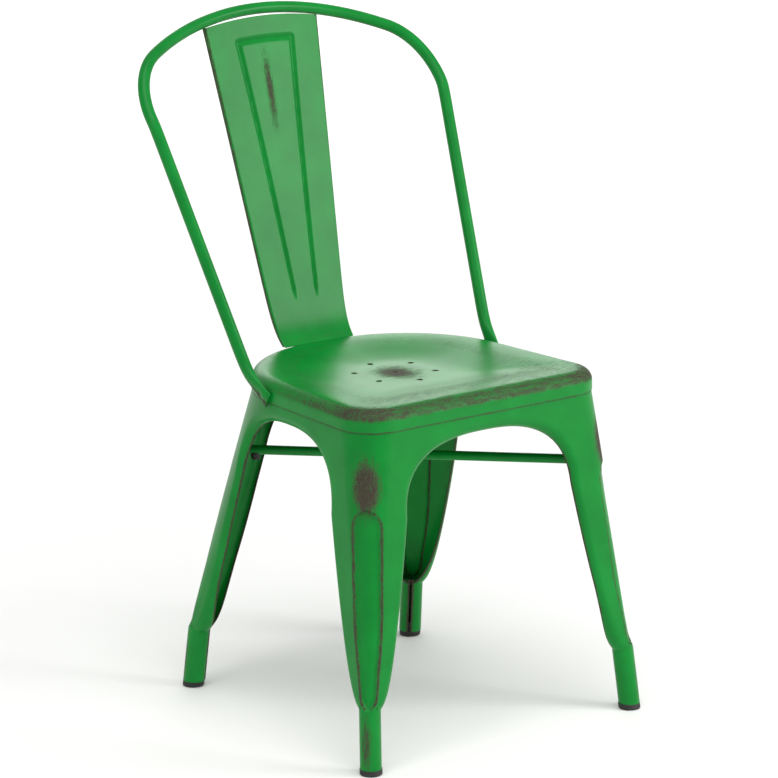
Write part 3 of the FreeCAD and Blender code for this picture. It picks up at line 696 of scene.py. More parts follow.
    def wear(self, along: Array, z: Array) -> Array:
        """Wear of the face: the flute's lip, the scuffs above it, the foot and the seam."""
        top = BODY.seam - self.flute_drop
        edge = self.flute_edge(z)
        inside = (z > self.flute_foot - 1.0) & (z < top + 1.0)
        lip = 0.92 * bump(np.abs(along) - edge + 0.6, 2.1) * inside
        scuff = 1.45 * bump(z - top - 26.0, 32.0) * bump(along, 17.0)
        foot = 0.85 * bump(z - 40.0, 38.0) * bump(along - 3.0, 7.5)
        seam = 0.75 * ease((z - BODY.seam + 5.0) / 6.0)
        return np.maximum.reduce((lip, scuff, foot, seam))

    def build(self) -> bpy.types.Object:
        """Make the leg's sheet as one closed skin."""
        spans = self.arch_spans + self.taper_spans + self.tube_spans
        index = np.linspace(0.0, spans, spans * self.rows_per_span + 1)
        front = self.line_beside_arch(index, self.corner.face, None)
        side = self.line_beside_arch(index, self.corner.side, self.corner.joint)
        along, z = self.face(index, front, side)
        face = self.place(along, z)[0]
        front_roll, front_left = self.rolled_edge(front, None)
        side_roll, side_left = self.rolled_edge(side, self.corner.joint)
        grid = np.concatenate((front_roll[:, ::-1], face, side_roll), axis=1)
        edge = [1.1 * bump(left, 3.4) for left in (front_left[:, ::-1], side_left)]
        wear = np.concatenate((edge[0], self.wear(along, z), edge[1]), axis=1)
        turn = np.array((1.0 if self.hand == "right" else -1.0, self.corner.outward, 1.0))
        grid = grid * turn + np.array((0.0, BODY.centre_y, 0.0))
        skin = pressed_skin(grid, BODY.sheet, wear, np.array((turn[0], turn[1], 0.0)))
        return make_piece(f"{self.corner.name}_{self.hand}_leg_sheet", [skin])

    def dress(self, enamel: bpy.types.Material) -> None:
        """Build the leg and let it stand for its node."""
        settle(self.build(), enamel, "painted_steel", f"{self.corner.name}_{self.hand}_leg")


@dataclass
class SeatPan:
    """The seat: one deep-drawn skin with a rolled rim, a dished middle and seven drain holes."""

    rim_rise: float = 27.0
    roll: float = 16.0
    dish: float = 11.5
    drain_circle: float = 50.9
    drain_hole: float = 3.4
    quarter_columns: int = 64
    band_rings: int = 6
    roll_rings: int = 14
    dish_rings: int = 60

    def outline(self) -> tuple[Array, Array]:
        """Points and outward normals round the seam, as (columns, 2) arrays."""
        places, normals = [], []
        for corner, other, flip in ((FRONT, REAR, False), (REAR, FRONT, True)):
            plan = SheetPlan(corner, other, np.array(BODY.seam))
            share = (np.arange(self.quarter_columns) + 0.5) / self.quarter_columns
            along = blend(-plan.middle(None), plan.middle(corner.joint), share)
            x, y, over, out = plan.point(along, 0.0)
            step = -1 if flip else 1
            places.append(np.stack((x, corner.outward * y), axis=1)[::step])
            normals.append(np.stack((over, corner.outward * out), axis=1)[::step])
        right = np.vstack(places)
        facing = np.vstack(normals)
        mirror = np.array((-1.0, 1.0))
        return np.vstack((right, right[::-1] * mirror)), np.vstack((facing, facing[::-1] * mirror))

    def depth(self, scale: Array) -> Array:
        """How far the dish sinks at a share of the way out from the middle."""
        return self.dish * ease((1.0 - scale) / 0.7)

    def ring(self, inset: float, z: float, scale: float = 1.0) -> Array:
        """One closed ring, drawn in by an inset and a scale, and round near the middle."""
        place, facing = self.outline()
        flat = (place - facing * inset) * scale
        round_share = ease(np.array((0.5 - scale) / 0.5))
        radius = np.linalg.norm(flat, axis=1, keepdims=True)
        circle = unit(flat) * radius.mean()
        flat = blend(flat, circle, round_share)
        return np.column_stack((flat[:, 0], flat[:, 1] + BODY.centre_y, np.full(len(flat), z)))

    def side_of_skin(self, skin: float) -> list[Array]:
        """Rings of one side of the sheet, from the band's lower edge to the middle hole."""
        rings = []
        band = self.rim_rise - self.roll
        for k in np.linspace(0.0, 1.0, self.band_rings, endpoint=False):
            rings.append(self.ring(-BODY.lap + skin, BODY.seam + band * k))
        roll = self.roll - skin
        for k in np.linspace(0.0, 1.0, self.roll_rings, endpoint=False):
            inset = -BODY.lap + skin + roll * (1.0 - math.cos(HALF_PI * k))
            rings.append(self.ring(inset, BODY.seam + band + roll * math.sin(HALF_PI * k)))
        inset = -BODY.lap + skin + roll
        reach = float(np.linalg.norm(self.ring(inset, 0.0)[:, :2]
                                     - (0.0, BODY.centre_y), axis=1).mean())
        for scale in np.linspace(1.0, self.drain_hole / reach, self.dish_rings):
            z = BODY.seam + band + roll - float(self.depth(np.array(scale)))
            rings.append(self.ring(inset, z, scale))
        return rings

    def wear(self, points: Array) -> Array:
        """Wear of the pan: its rim and front corners, the streaks round the middle, the holes."""
        x, y, z = points[:, 0], points[:, 1] - BODY.centre_y, points[:, 2]
        top = BODY.seam + self.rim_rise
        rim = bump(z - top + 3.0, 4.5) * (np.hypot(x, y) > 120.0)
        front = ease((-y - 60.0) / 110.0)
        corner = ease((np.hypot(np.maximum(np.abs(x) - 110.0, 0.0),
                                np.maximum(-y - 110.0, 0.0)) - 52.0) / 30.0)
        edge = rim * (0.34 + 0.2 * front + 0.35 * corner)
        roll = 0.85 * corner * ease((z - top + 18.0) / 8.0)
        middle = 1.05 * bump(x, 30.0) * bump(y + 4.0, 36.0)
        lower = 0.75 * bump(z - BODY.seam, 1.3)
        angle = HALF_PI + np.arange(6) * math.pi / 3.0
        away = np.hypot(x, y)
        for a in angle:
            away = np.minimum(away, np.hypot(x - self.drain_circle * math.cos(a),
                                             y - self.drain_circle * math.sin(a)))
        hole = 0.9 * bump(away - self.drain_hole, 0.9)
        return np.maximum.reduce((edge, roll, middle, lower, hole))

    def pierce(self, piece: bpy.types.Object) -> None:
        """Cut the six outer drain holes."""
        angle = circle_angles(32)
        pins = []
        for k in range(6):
            turn = HALF_PI + k * math.pi / 3.0
            middle = np.array((self.drain_circle * math.cos(turn),
                               BODY.centre_y + self.drain_circle * math.sin(turn)))
            ring = np.column_stack((middle[0] + self.drain_hole * np.cos(angle),
                                    middle[1] + self.drain_hole * np.sin(angle)))
            rings = np.stack([np.column_stack((ring, np.full(len(ring), z)))
                              for z in (BODY.seam, BODY.seam + self.rim_rise + 10.0)])
            pins.append(ringed_skin(rings, np.zeros(rings.shape[:2])))
        cutter = make_piece("drain_punch", pins)
        cut = piece.modifiers.new("drain_holes", "BOOLEAN")
        cut.object = cutter
        cut.operation = "DIFFERENCE"
        cut.solver = "EXACT"
        graph = bpy.context.evaluated_depsgraph_get()
        solid = bpy.data.meshes.new_from_object(piece.evaluated_get(graph))
        piece.modifiers.clear()
        piece.data = solid
        bpy.data.objects.remove(cutter)

    def build(self) -> bpy.types.Object:
        """Make the pan: up the outside, through the middle hole and back down the inside."""
        rings = np.stack(self.side_of_skin(0.0) + self.side_of_skin(BODY.sheet)[::-1])
        rows, columns = rings.shape[:2]
        quads = grid_quads(rows, columns, wrap_rows=True, wrap_columns=True)
        skin = Skin(rings.reshape(-1, 3), quads, np.zeros(rows * columns))
        piece = make_piece("seat_pan_skin", [skin])
        self.pierce(piece)
        store_wear(piece.data, self.wear(mesh_points(piece.data)))
        piece.data.set_sharp_from_angle(angle=math.radians(SOFT_CREASE))
        return piece

    def dress(self, enamel: bpy.types.Material) -> None:
        """Build the pan and let it stand for its node."""
        settle(self.build(), enamel, "painted_steel", "seat_pan")


# ---------------------------------------------------------------- back


def spline(poles: Array, per_span: int) -> Array:
    """Points of a uniform cubic B-spline that starts and ends on its end poles.

    Args:
        poles: (count, width) control values.
        per_span: Points in each span.

    Returns:
        (count, width) points.
    """
    full = np.vstack((poles[:1], poles[:1], poles, poles[-1:], poles[-1:]))
    k = (np.arange(per_span) / per_span)[None, :, None]
    a, b, c, d = (full[i:len(full) - 3 + i][:, None, :] for i in range(4))
    made = ((1 - k) ** 3 * a + (3 * k ** 3 - 6 * k ** 2 + 4) * b
            + (-3 * k ** 3 + 3 * k ** 2 + 3 * k + 1) * c + k ** 3 * d) / 6.0
    return np.vstack((made.reshape(-1, poles.shape[1]), poles[-1:]))


def band_x(y: Array, out: float) -> Array:
    """How far from the plane of symmetry the pan's side band is at y, plus a distance out."""
    plan = SheetPlan(FRONT, REAR, np.array(BODY.seam))
    run = (plan.reach - (BODY.centre_y - y)) / -plan.side_y
    return plan.half + plan.side_x * run + BODY.lap + out


@dataclass
class BackHoop:
    """The back: one bent tube whose ends are flattened and riveted to the seat's side bands."""

    radius: float = 7.5
    top: float = 851.0
    stand_off: float = 11.6
    foot_y: float = 57.7
    foot_rise: float = 42.3
    splay: float = 0.132
    rake: float = 0.465
    corner: float = 72.0
    crown: float = 484.0
    bow: float = 46.2
    lean: float = 94.7
    strap_thick: float = 2.2
    strap_wide: float = 10.5
    rivet_y: float = 24.0
    rivet_rise: float = 11.3
    spans: tuple[int, int, int] = (8, 12, 16)
    per_span: int = 6
    around: int = 48

    @property
    def foot_z(self) -> float:
        """Height where the straight tube begins."""
        return BODY.seam + self.foot_rise

    def outline(self) -> tuple[Array, int]:
        """Half of the centreline seen from the front, as (sideways, height) points.

        A straight line that leans out, an arc of the corner radius, and an arc of the crown
        radius centred on the plane of symmetry, each tangent to the next.

        Returns:
            The points and the number of spans in the straight part.
        """
        foot = np.array((band_x(BODY.centre_y + self.foot_y, self.stand_off), self.foot_z))
        crown_z = self.top - self.radius - self.crown
        lean = math.atan(self.splay)
        up = np.array((math.sin(lean), math.cos(lean)))
        inward = np.array((-math.cos(lean), math.sin(lean)))
        away = foot + self.corner * inward - (0.0, crown_z)
        along = float(away @ up)
        square = float(away @ away) - (self.crown - self.corner) ** 2
        rise = -along + math.sqrt(max(along * along - square, 0.0))
        centre = foot + up * rise + self.corner * inward
        start = math.atan2(-inward[1], -inward[0])
        middle = math.atan2(centre[1] - crown_z, centre[0])
        straight = foot + up * np.linspace(0.0, rise, self.spans[0] + 1)[:, None]
        bend = np.linspace(start, middle, self.spans[1] + 1)[1:]
        over = np.linspace(middle, HALF_PI, self.spans[2] + 1)[1:]
        arc = centre + self.corner * np.column_stack((np.cos(bend), np.sin(bend)))
        top = np.column_stack((self.crown * np.cos(over), crown_z + self.crown * np.sin(over)))
        return np.vstack((straight, arc, top)), self.spans[0]

    def half(self) -> Array:
        """Half of the centreline: the outline, raked back and bowed to a crown behind it."""
        line, straight = self.outline()
        step = np.linalg.norm(np.diff(line, axis=0), axis=1)
        run = np.concatenate(((0.0,), np.cumsum(step)))
        u = np.maximum(0.0, run - run[straight]) / (run[-1] - run[straight])
        bow = self.bow * (3 * u ** 2 - 2 * u ** 3) + self.lean * (u - 2 * u ** 2 + u ** 3)
        y = self.foot_y + self.rake * (line[:, 1] - self.foot_z) + bow
        return np.column_stack((line[:, 0], BODY.centre_y + y, line[:, 1]))

    def stations(self) -> Array:
        """Control points of the whole centreline with the section's half sizes."""
        half = self.half()
        foot = half[0]
        end_y = BODY.centre_y + self.rivet_y - 6.0
        end_z = BODY.seam + self.rivet_rise - 8.0
        end_x = float(band_x(end_y, self.strap_thick + LAP_GAP))
        k = np.linspace(0.0, 1.0, 6)[:-1]
        flat = ease((1.0 - k) / 0.6)
        lead = np.column_stack((
            blend(foot[0], end_x, ease((1.0 - k) / 0.75)),
            blend(end_y, foot[1], k ** 1.25),
            blend(end_z, foot[2], blend(k ** 2, k, 0.25)),
            blend(self.radius, self.strap_thick, flat),
            blend(self.radius, self.strap_wide, flat)))
        tube = np.column_stack((half, np.full((len(half), 2), self.radius)))
        right = np.vstack((lead, tube))
        left = right[:-1][::-1] * (-1.0, 1.0, 1.0, 1.0, 1.0)
        return np.vstack((right, left))

    def section(self, line: Array) -> Array:
        """Rings round the centreline: ellipses that square up as the tube flattens."""
        points, thin_half, broad_half = line[:, :3], line[:, 3:4], line[:, 4:5]
        run = unit(np.gradient(points, axis=0))
        broad = unit(np.array((0.0, 1.0, 0.0)) - run * run[:, 1:2])
        thin = np.cross(run, broad)
        angle = circle_angles(self.around)[None, :]
        power = 1.0 - 0.35 * (1.0 - thin_half / broad_half)
        across, along = squared_circle(angle, power)
        return (points[:, None] + thin[:, None] * (across * thin_half)[..., None]
                + broad[:, None] * (along * broad_half)[..., None])

    def wear(self, rings: Array) -> Array:
        """Wear of the tube: a thin rubbed line low on its outside, its bends and its ends."""
        middle = rings.mean(axis=1, keepdims=True)
        away = unit(rings - middle)
        low = bump(away[..., 2] + 0.75, 0.25)
        front = bump(away[..., 1] - 0.55, 0.35)
        end = ease((BODY.seam + 40.0 - rings[..., 2]) / 30.0)
        crown = ease((rings[..., 2] - 740.0) / 60.0)
        return 0.55 * low * (0.5 + 0.5 * crown) + 0.3 * front + 0.3 * end * low

    def build(self) -> bpy.types.Object:
        """Make the tube."""
        line = spline(self.stations(), self.per_span)
        rings = self.section(line)
        return make_piece("back_hoop_tube", [ringed_skin(rings, self.wear(rings))])

    def dress(self, enamel: bpy.types.Material) -> None:
        """Build the hoop and let it stand for its node."""
        settle(self.build(), enamel, "painted_steel", "back_hoop")


@dataclass
class HoopRivet:
    """A domed rivet head that holds a hoop end to the pan."""

    side: float
    hoop: BackHoop
    head: float = 7.2
    rise: float = 3.2
    around: int = 40
    rings: int = 10

    def build(self, name: str) -> bpy.types.Object:
        """Turn the dome: height = rise * cos(angle), reach = head * sin(angle), on a flat back."""
        y = BODY.centre_y + self.hoop.rivet_y
        z = BODY.seam + self.hoop.rivet_rise
        base_x = float(band_x(y, 2.0 * self.hoop.strap_thick + LAP_GAP))
        angle = np.linspace(0.02, 1.0, self.rings) * HALF_PI
        reach = np.concatenate((self.head * np.sin(angle), (self.head,)))
        rise = np.concatenate((self.rise * np.cos(angle), (-0.6,)))
        turn = circle_angles(self.around)[None, :]
        x = self.side * (base_x + rise[:, None] + 0.0 * turn)
        rings = np.stack((x, y + reach[:, None] * np.cos(turn),
                          z + reach[:, None] * np.sin(turn)), axis=-1)
        wear = np.repeat(0.35 * bump(reach[:, None] - self.head, 1.2) + 0.25 * bump(
            reach[:, None], 3.0), self.around, axis=1)
        return make_piece(name, [ringed_skin(rings, wear)])

    def dress(self, enamel: bpy.types.Material, hand: str) -> None:
        """Build the rivet and let it stand for its node."""
        settle(self.build(hand + "_rivet_head"), enamel, "painted_rivet", hand + "_hoop_rivet")


@dataclass
class BackSplat:
    """The splat: a pressed strip with folded sides and a groove that frames its middle."""

    hoop: BackHoop
    top_half: float = 88.0
    foot_half: float = 54.5
    foot_inset: float = 5.3
    top_inset: float = 10.9
    foot_curl: float = 14.0
    curl_height: float = 18.0
    groove: float = 2.5
    groove_width: float = 5.0
    groove_top: float = 0.93
    groove_foot: float = 0.16
    fold: float = 2.2
    hem: float = 3.2
    rows: int = 190
    columns: int = 132
    fold_columns: int = 6
    hem_columns: int = 2

    def top_z(self, x: Array) -> Array:
        """Height of the top edge: an arc just under the hoop's crown."""
        middle = self.hoop.top - self.hoop.radius - self.hoop.crown
        return middle + np.sqrt(self.hoop.crown ** 2 - x ** 2) - self.hoop.radius - LAP_GAP

    def middle_line(self, level: Array) -> tuple[Array, Array]:
        """Distance behind the seat centre and height, straight but for a curl at the foot."""
        foot_z = BODY.seam + 25.0
        foot_y = REAR.reach - self.foot_inset + self.foot_curl
        top_y = (self.hoop.foot_y + self.hoop.rake * (self.hoop.top - self.hoop.radius
                 - self.hoop.foot_z) + self.hoop.bow - self.top_inset)
        z = blend(foot_z, self.top_z(np.zeros(1)), level)
        curl = self.foot_curl * np.exp(-(z - foot_z) / self.curl_height)
        return blend(foot_y, top_y, level) - curl, z

    def groove_side(self, share: Array, level: Array) -> Array:
        """Distance from the middle of the groove, an upside-down U that narrows downwards."""
        half = blend(0.26, 0.5, level / self.groove_top)
        side = np.abs(np.abs(share) - half) * self.top_half
        crown = np.abs(level - self.groove_top) * (self.hoop.top - self.hoop.radius - BODY.seam)
        over = np.hypot(np.maximum(np.abs(share) - half, 0.0) * self.top_half, crown)
        under = np.where(np.abs(share) < half, np.minimum(side, crown), side)
        away = np.where(level > self.groove_top, over, under)
        return away + np.maximum(self.groove_foot - level, 0.0) * 120.0

    def build(self) -> bpy.types.Object:
        """Make the strip, its folded sides and its hems as one sheet."""
        level = np.linspace(1.0, 0.0, self.rows)[:, None]
        share = np.linspace(-1.0, 1.0, self.columns + 1)[None, :]
        half = blend(self.foot_half, self.top_half, level)
        y, z = self.middle_line(level)
        away = self.groove_side(share, level)
        sunk = self.groove * ease(1.0 - away / self.groove_width)
        x = share * (half - self.fold)
        drop = (self.top_z(np.zeros(1)) - self.top_z(x)) * level
        face = np.stack((x, y + sunk, z - drop), axis=-1)
        turn = np.linspace(0.0, HALF_PI, self.fold_columns + 1)[1:]
        hem = np.linspace(0.0, self.hem, self.hem_columns + 1)[1:]
        over = np.concatenate((self.fold * np.sin(turn), np.full(len(hem), self.fold)))
        back = np.concatenate((self.fold * (1.0 - np.cos(turn)), self.fold + hem))
        side = np.repeat(face[:, -1:], len(over), axis=1)
        side = side + np.stack((over, back, 0.0 * over), axis=-1)
        other = side[:, ::-1] * (-1.0, 1.0, 1.0)
        grid = np.concatenate((other, face, side), axis=1) + (0.0, BODY.centre_y, 0.0)
        no_groove = np.full((self.rows, len(over)), 99.0)
        wear = self.wear(grid, np.concatenate((no_groove, away, no_groove), axis=1))
        skin = pressed_skin(grid, BODY.sheet, wear, np.array((0.0, -1.0, 0.0)))
        return make_piece("back_splat_strip", [skin])

    def wear(self, grid: Array, away: Array) -> Array:
        """Wear of the strip: its folded sides, the groove and a long rub in the middle."""
        x, z = grid[..., 0], grid[..., 2]
        level = (z - BODY.seam) / (self.hoop.top - BODY.seam)
        half = blend(self.foot_half, self.top_half, level)
        side = 0.7 * bump(np.maximum(half - np.abs(x), 0.0), 1.8)
        hem = np.zeros_like(side)
        hem[:, :4] = hem[:, -4:] = 0.8
        groove = 0.22 * bump(away - 3.5, 1.5)
        rub = 0.95 * bump(x + 4.0, 6.5) * bump(z - 745.0, HARD_CREASE)
        foot = 0.3 * bump(z - BODY.seam - 30.0, 5.0)
        return np.maximum.reduce((side, hem, groove, rub, foot))

    def dress(self, enamel: bpy.types.Material) -> None:
        """Build the splat and let it stand for its node."""
        settle(self.build(), enamel, "painted_steel", "back_splat")


# ---------------------------------------------------------------- feet and brace


def turned(profile: Array, base: Array, axis: Array, around: int = 40) -> Array:
    """Rings turned about an axis: each profile row gives (reach, distance along the axis)."""
    run = unit(axis)
    first = unit(np.cross(run, np.array((0.0, 1.0, 0.0))))
    second = np.cross(run, first)
    turn = circle_angles(around)[None, :, None]
    spoke = np.cos(turn) * first + np.sin(turn) * second
    return base + profile[:, None, 1:2] * run + profile[:, None, 0:1] * spoke


@dataclass
class FootCap:
    """A moulded rubber foot pushed into the end of a leg tube."""

    corner: BodyCorner
    other: BodyCorner
    hand: str
    chamfer: float = 1.2
    plug: float = 14.0
    plug_gap: float = 0.6
    around: int = 48

    def centre(self, z: float) -> Array:
        """Middle of the tube at a height."""
        plan = SheetPlan(self.corner, self.other, np.array(z))
        side = 1.0 if self.hand == "right" else -1.0
        return np.array((side * float(plan.half - plan.tangent),
                         BODY.centre_y + self.corner.outward * float(plan.reach - plan.radius), z))

    def build(self) -> bpy.types.Object:
        """Level rings that follow the leaning tube: sole, chamfer, band, shoulder and plug."""
        low, high = self.centre(0.0), self.centre(BODY.tube_end)
        lean = (high - low) / BODY.tube_end
        radius = BODY.foot_radius
        inner = radius - BODY.sheet - self.plug_gap
        profile = np.array((
            (radius - 3.0, 0.0), (radius - self.chamfer, 0.0), (radius - 0.45, 0.3), (radius, 1.3),
            (radius, 3.2), (radius - 0.35, 3.5), (radius - 0.35, 3.9), (radius, 4.2),
            (radius, 6.5), (radius - 0.4, 6.95), (inner, 6.95), (inner, 8.0), (inner, 19.0),
            (inner - 1.2, 20.5)))
        turn = circle_angles(self.around)[None, :]
        rings = np.stack((low[0] + lean[0] * profile[:, 1:] + profile[:, :1] * np.cos(turn),
                          low[1] + lean[1] * profile[:, 1:] + profile[:, :1] * np.sin(turn),
                          profile[:, 1:] + 0.0 * turn), axis=-1)
        name = f"{self.corner.name}_{self.hand}_rubber_foot"
        return make_piece(name, [ringed_skin(rings, np.zeros(rings.shape[:2]))], HARD_CREASE)

    def dress(self, rubber: bpy.types.Material) -> None:
        """Build the foot and let it stand for its node."""
        settle(self.build(), rubber, "foot_rubber", f"{self.corner.name}_{self.hand}_foot_cap")


@dataclass
class CrossBrace:
    """Two crossed tubes under the seat, each with a welded plate and a rubber stop at its ends."""

    radius: float = 6.0
    drop: float = 89.7
    lift: float = 12.1
    plate_half: float = 9.0
    plate: float = 3.0
    gap: float = 2.5
    stop_inset: float = 16.0
    stop_radius: float = 6.5
    stop_drop: float = 6.5
    weld_bead: float = 1.6
    tubes: tuple[tuple[str, float, tuple[str, str]], ...] = (
        ("lower", 1.0, ("rear_left", "front_right")),
        ("upper", -1.0, ("rear_right", "front_left")))

    def corner_inside(self, corner: BodyCorner, other: BodyCorner, z: float) -> Array:
        """Inner face of a leg's corner behind the flute, as (sideways, outward)."""
        x, y, _, _ = SheetPlan(corner, other, np.array(z)).point(
            np.array(0.0), BODY.flute_press + BODY.sheet)
        return np.array((float(x), float(y)))

    def ends(self, mirror: float, lift: float) -> tuple[Array, Array]:
        """The two ends of one tube, inside a rear corner and the opposite front corner."""
        z = BODY.seam - self.drop + lift
        rear = self.corner_inside(REAR, FRONT, z - self.plate_half)
        front = self.corner_inside(FRONT, REAR, z - self.plate_half)
        a = np.array((-rear[0] * mirror, BODY.centre_y + rear[1], z))
        b = np.array((front[0] * mirror, BODY.centre_y - front[1], z))
        run = unit(b - a) * (self.gap + self.plate)
        return a + run, b - run

    def tube(self, name: str, a: Array, b: Array) -> bpy.types.Object:
        """A tube between two points with a rounded weld bead at each end."""
        length = float(np.linalg.norm(b - a))
        s = np.linspace(0.0, HALF_PI, 5)
        bead = self.radius + self.weld_bead * np.cos(s)
        rise = self.weld_bead * np.sin(s)
        start = np.column_stack((bead, rise))
        end = np.column_stack((bead[::-1], length - rise[::-1]))
        profile = np.vstack((start, end))
        rings = turned(profile, a, b - a)
        wear = np.full(rings.shape[:2], 0.08)
        wear[:4] = wear[-4:] = 0.45
        return make_piece(name, [ringed_skin(rings, wear)], HARD_CREASE)

    def stop(self, name: str, place: Array) -> bpy.types.Object:
        """A rubber stop: a short cone whose head grips the tube and whose tip is rounded."""
        tip = self.stop_radius - 1.2
        low = -self.radius - self.stop_drop
        profile = np.array(((tip - 2.2, low), (tip - 0.8, low + 0.1), (tip - 0.1, low + 0.8),
                            (tip + 0.1, low + 1.6), (self.stop_radius - 0.3, low + 6.0),
                            (self.stop_radius - 0.3, low + 7.0), (self.stop_radius, low + 7.3),
                            (self.stop_radius, -3.2)))
        rings = turned(profile, place, np.array((0.0, 0.0, 1.0)), 32)
        return make_piece(name, [ringed_skin(rings, np.zeros(rings.shape[:2]))], HARD_CREASE)

    def plate_piece(self, name: str, end: Array, away: Array) -> bpy.types.Object:
        """A square plate with rounded corners, across the tube's end."""
        turn = circle_angles(48)
        across, up = (self.plate_half * part for part in squared_circle(turn, 0.3))
        side = unit(np.cross(away, np.array((0.0, 0.0, 1.0))))
        ring = across[:, None] * side + up[:, None] * np.array((0.0, 0.0, 1.0))
        rows = [(0.94, 0.0), (1.0, 0.4), (1.0, self.plate - 0.4), (0.94, self.plate)]
        rings = np.stack([end + away * depth + ring * scale for scale, depth in rows])
        wear = np.full(rings.shape[:2], 0.35)
        return make_piece(name, [ringed_skin(rings, wear)], HARD_CREASE)

    def dress(self, enamel: bpy.types.Material, rubber: bpy.types.Material) -> None:
        """Build the brace piece by piece."""
        for k, (level, mirror, corners) in enumerate(self.tubes):
            a, b = self.ends(mirror, k * self.lift)
            run = unit(b - a)
            settle(self.tube(level + "_brace_bar", a, b), enamel, "brace_paint",
                   level + "_brace_tube")
            for corner, end, away in ((corners[0], a, -run), (corners[1], b, run)):
                settle(self.plate_piece(corner + "_weld_plate", end, away), enamel,
                       "brace_paint", corner + "_brace_plate")
                settle(self.stop(corner + "_rubber_stop", end - away * self.stop_inset), rubber,
                       "stop_rubber", corner + "_stack_stop")


# ---------------------------------------------------------------- studio


def facing(azimuth: float, elevation: float) -> Vector:
    """Unit direction out from the chair at a turn round it (0 is the front) and a height."""
    a, e = math.radians(azimuth), math.radians(elevation)
    return Vector((math.sin(a) * math.cos(e), -math.cos(a) * math.cos(e), math.sin(e)))


@dataclass(frozen=True)
class Softbox:
    """One soft rectangular light that looks at the middle of the chair.

    Attributes:
        name: Name of the light.
        azimuth: Turn round the chair in degrees; 0 is the front and 90 its right side.
        elevation: Angle above the floor in degrees.
        away: Distance in metres.
        width: Width in metres.
        height: Height in metres.
        watts: Power.
    """

    name: str
    azimuth: float
    elevation: float
    away: float
    width: float
    height: float
    watts: float

    def build(self) -> bpy.types.Light:
        """Make the lamp's data."""
        data = bpy.data.lights.new(self.name, "AREA")
        data.shape = "RECTANGLE"
        data.size, data.size_y = self.width, self.height
        data.energy = self.watts
        return data


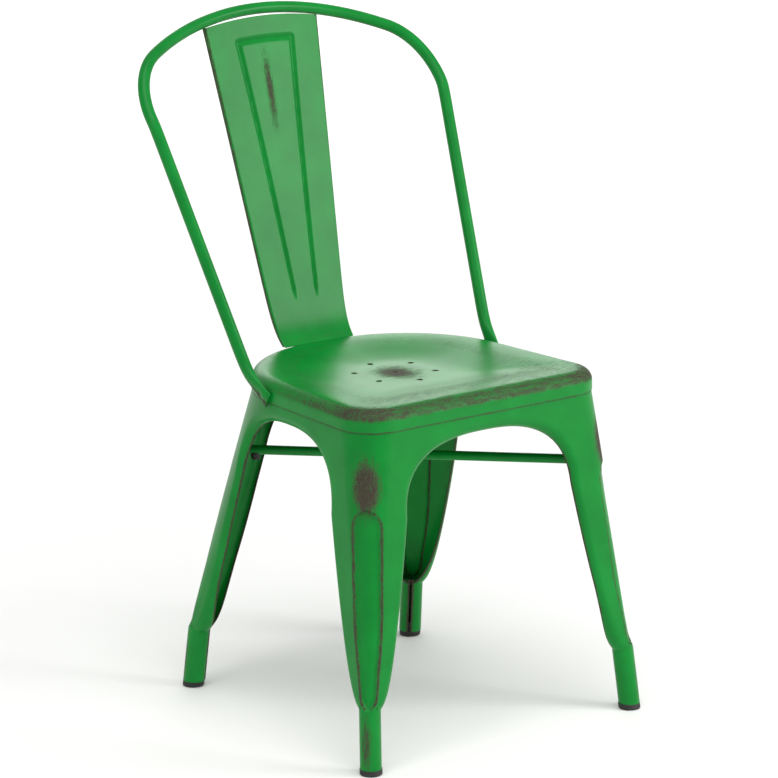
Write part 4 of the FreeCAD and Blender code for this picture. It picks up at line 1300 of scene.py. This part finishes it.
@dataclass
class Studio:
    """A plain pale floor, soft lights and the camera.

    Attributes:
        eye: Place of the camera in millimetres.
        azimuth: Its turn round the chair in degrees.
        elevation: Its height angle.
        roll: Its small roll.
        lens: Focal length in millimetres on a sensor of sensor_width.
        look_height: Height in metres that the lights look at.
        ceiling: Turn, height angle, spread in degrees and strength of the light overhead.
        surround: Strength of the even white surround.
    """

    eye: tuple[float, float, float] = (-3078.84, -4062.21, 1677.12)
    azimuth: float = -37.281
    elevation: float = 14.117
    roll: float = -0.29
    lens: float = 194.67
    sensor_width: float = 36.0
    floor_half: float = 9000.0
    floor_drop: float = 0.6
    floor_points: int = 9
    floor_colour: str = "#F4F4F2"
    look_height: float = 0.45
    ceiling: tuple[float, float, float, float] = (-25.0, 68.0, 50.0, 1.5)
    surround: float = 0.5
    softboxes: tuple[Softbox, ...] = (
        Softbox("right_front_softbox", 38.0, 18.0, 3.2, 1.2, 1.2, 46.0),
        Softbox("left_front_softbox", -75.0, 30.0, 3.0, 0.8, 1.4, 9.0),
        Softbox("back_wall_softbox", 146.0, 16.0, 7.5, 5.4, 2.1, 108.0))

    def camera(self) -> None:
        """Set the camera by its turn round the chair, its height angle and its small roll."""
        data = bpy.data.cameras.new("studio_camera")
        data.lens = self.lens
        data.sensor_width = self.sensor_width
        data.clip_end = 60.0
        a, r = math.radians(self.azimuth), math.radians(self.roll)
        back = facing(self.azimuth, self.elevation)
        right = Vector((math.cos(a), math.sin(a), 0.0))
        up = back.cross(right)
        right, up = right * math.cos(r) + up * math.sin(r), up * math.cos(r) - right * math.sin(r)
        camera = bpy.data.objects.new("studio_camera", data)
        turn = Matrix((right, up, back)).transposed().to_4x4()
        camera.matrix_world = Matrix.Translation(Vector(self.eye) * MM) @ turn
        bpy.context.scene.collection.objects.link(camera)
        bpy.context.scene.camera = camera

    def floor(self) -> None:
        """A level floor a hair below the rubber feet."""
        side = np.linspace(-self.floor_half, self.floor_half, self.floor_points)
        x, y = np.meshgrid(side, side)
        points = np.stack((x, y, np.full_like(x, -self.floor_drop)), axis=-1).reshape(-1, 3)
        quads = grid_quads(self.floor_points, self.floor_points)
        mesh = bpy.data.meshes.new("studio_floor")
        mesh.from_pydata((points * MM).tolist(), [], quads.tolist())
        floor = bpy.data.objects.new("studio_floor", mesh)
        bpy.context.scene.collection.objects.link(floor)
        material = bpy.data.materials.new("matte_paper_sweep")
        material.use_nodes = True
        shader = material.node_tree.nodes["Principled BSDF"]
        shader.inputs["Base Color"].default_value = linear(self.floor_colour)
        shader.inputs["Roughness"].default_value = 0.9
        mesh.materials.append(material)

    def hang(self, data: bpy.types.Light, azimuth: float, elevation: float, away: float) -> None:
        """Hang a light at a turn, a height angle and a distance in metres, facing the chair."""
        back = facing(azimuth, elevation)
        lamp = bpy.data.objects.new(data.name, data)
        lamp.location = Vector((0.0, 0.0, self.look_height)) + back * away
        lamp.rotation_mode = "QUATERNION"
        lamp.rotation_quaternion = (-back).to_track_quat("-Z", "Y")
        bpy.context.scene.collection.objects.link(lamp)

    def lights(self) -> None:
        """Hang the softboxes, and the broad even light of a lit studio ceiling."""
        for box in self.softboxes:
            self.hang(box.build(), box.azimuth, box.elevation, box.away)
        azimuth, elevation, spread, strength = self.ceiling
        data = bpy.data.lights.new("ceiling_light", "SUN")
        data.energy = strength
        data.angle = math.radians(spread)
        self.hang(data, azimuth, elevation, 0.0)

    def world(self) -> None:
        """An even white surround."""
        world = bpy.data.worlds.new("white_studio")
        world.use_nodes = True
        back = world.node_tree.nodes["Background"]
        back.inputs["Color"].default_value = (1.0, 1.0, 1.0, 1.0)
        back.inputs["Strength"].default_value = self.surround
        bpy.context.scene.world = world
        bpy.context.scene.view_settings.view_transform = "Standard"

    def build(self) -> None:
        """Set everything up."""
        self.camera()
        self.world()
        self.floor()
        self.lights()


# ---------------------------------------------------------------- the chair


def main() -> None:
    """Build the studio and the chair."""
    logging.basicConfig(level=logging.INFO, format="%(name)s: %(message)s")
    Studio().build()
    enamel = WornEnamel("worn_green_enamel_on_pressed_steel").build()
    seat_enamel = WornEnamel("worn_green_enamel_on_seat", streak=Streak.ACROSS).build()
    tube_enamel = WornEnamel("worn_green_enamel_on_steel_tube", streak=Streak.ALL_ROUND).build()
    rubber = MouldedRubber("moulded_epdm_rubber").build()
    for corner, other in ((FRONT, REAR), (REAR, FRONT)):
        for hand in ("left", "right"):
            PressedLeg(corner, other, hand).dress(enamel)
            FootCap(corner, other, hand).dress(rubber)
    SeatPan().dress(seat_enamel)
    hoop = BackHoop()
    hoop.dress(tube_enamel)
    for hand, side in (("left", -1.0), ("right", 1.0)):
        HoopRivet(side, hoop).dress(tube_enamel, hand)
    BackSplat(hoop).dress(enamel)
    CrossBrace().dress(tube_enamel, rubber)


if __name__ == "__main__":
    main()
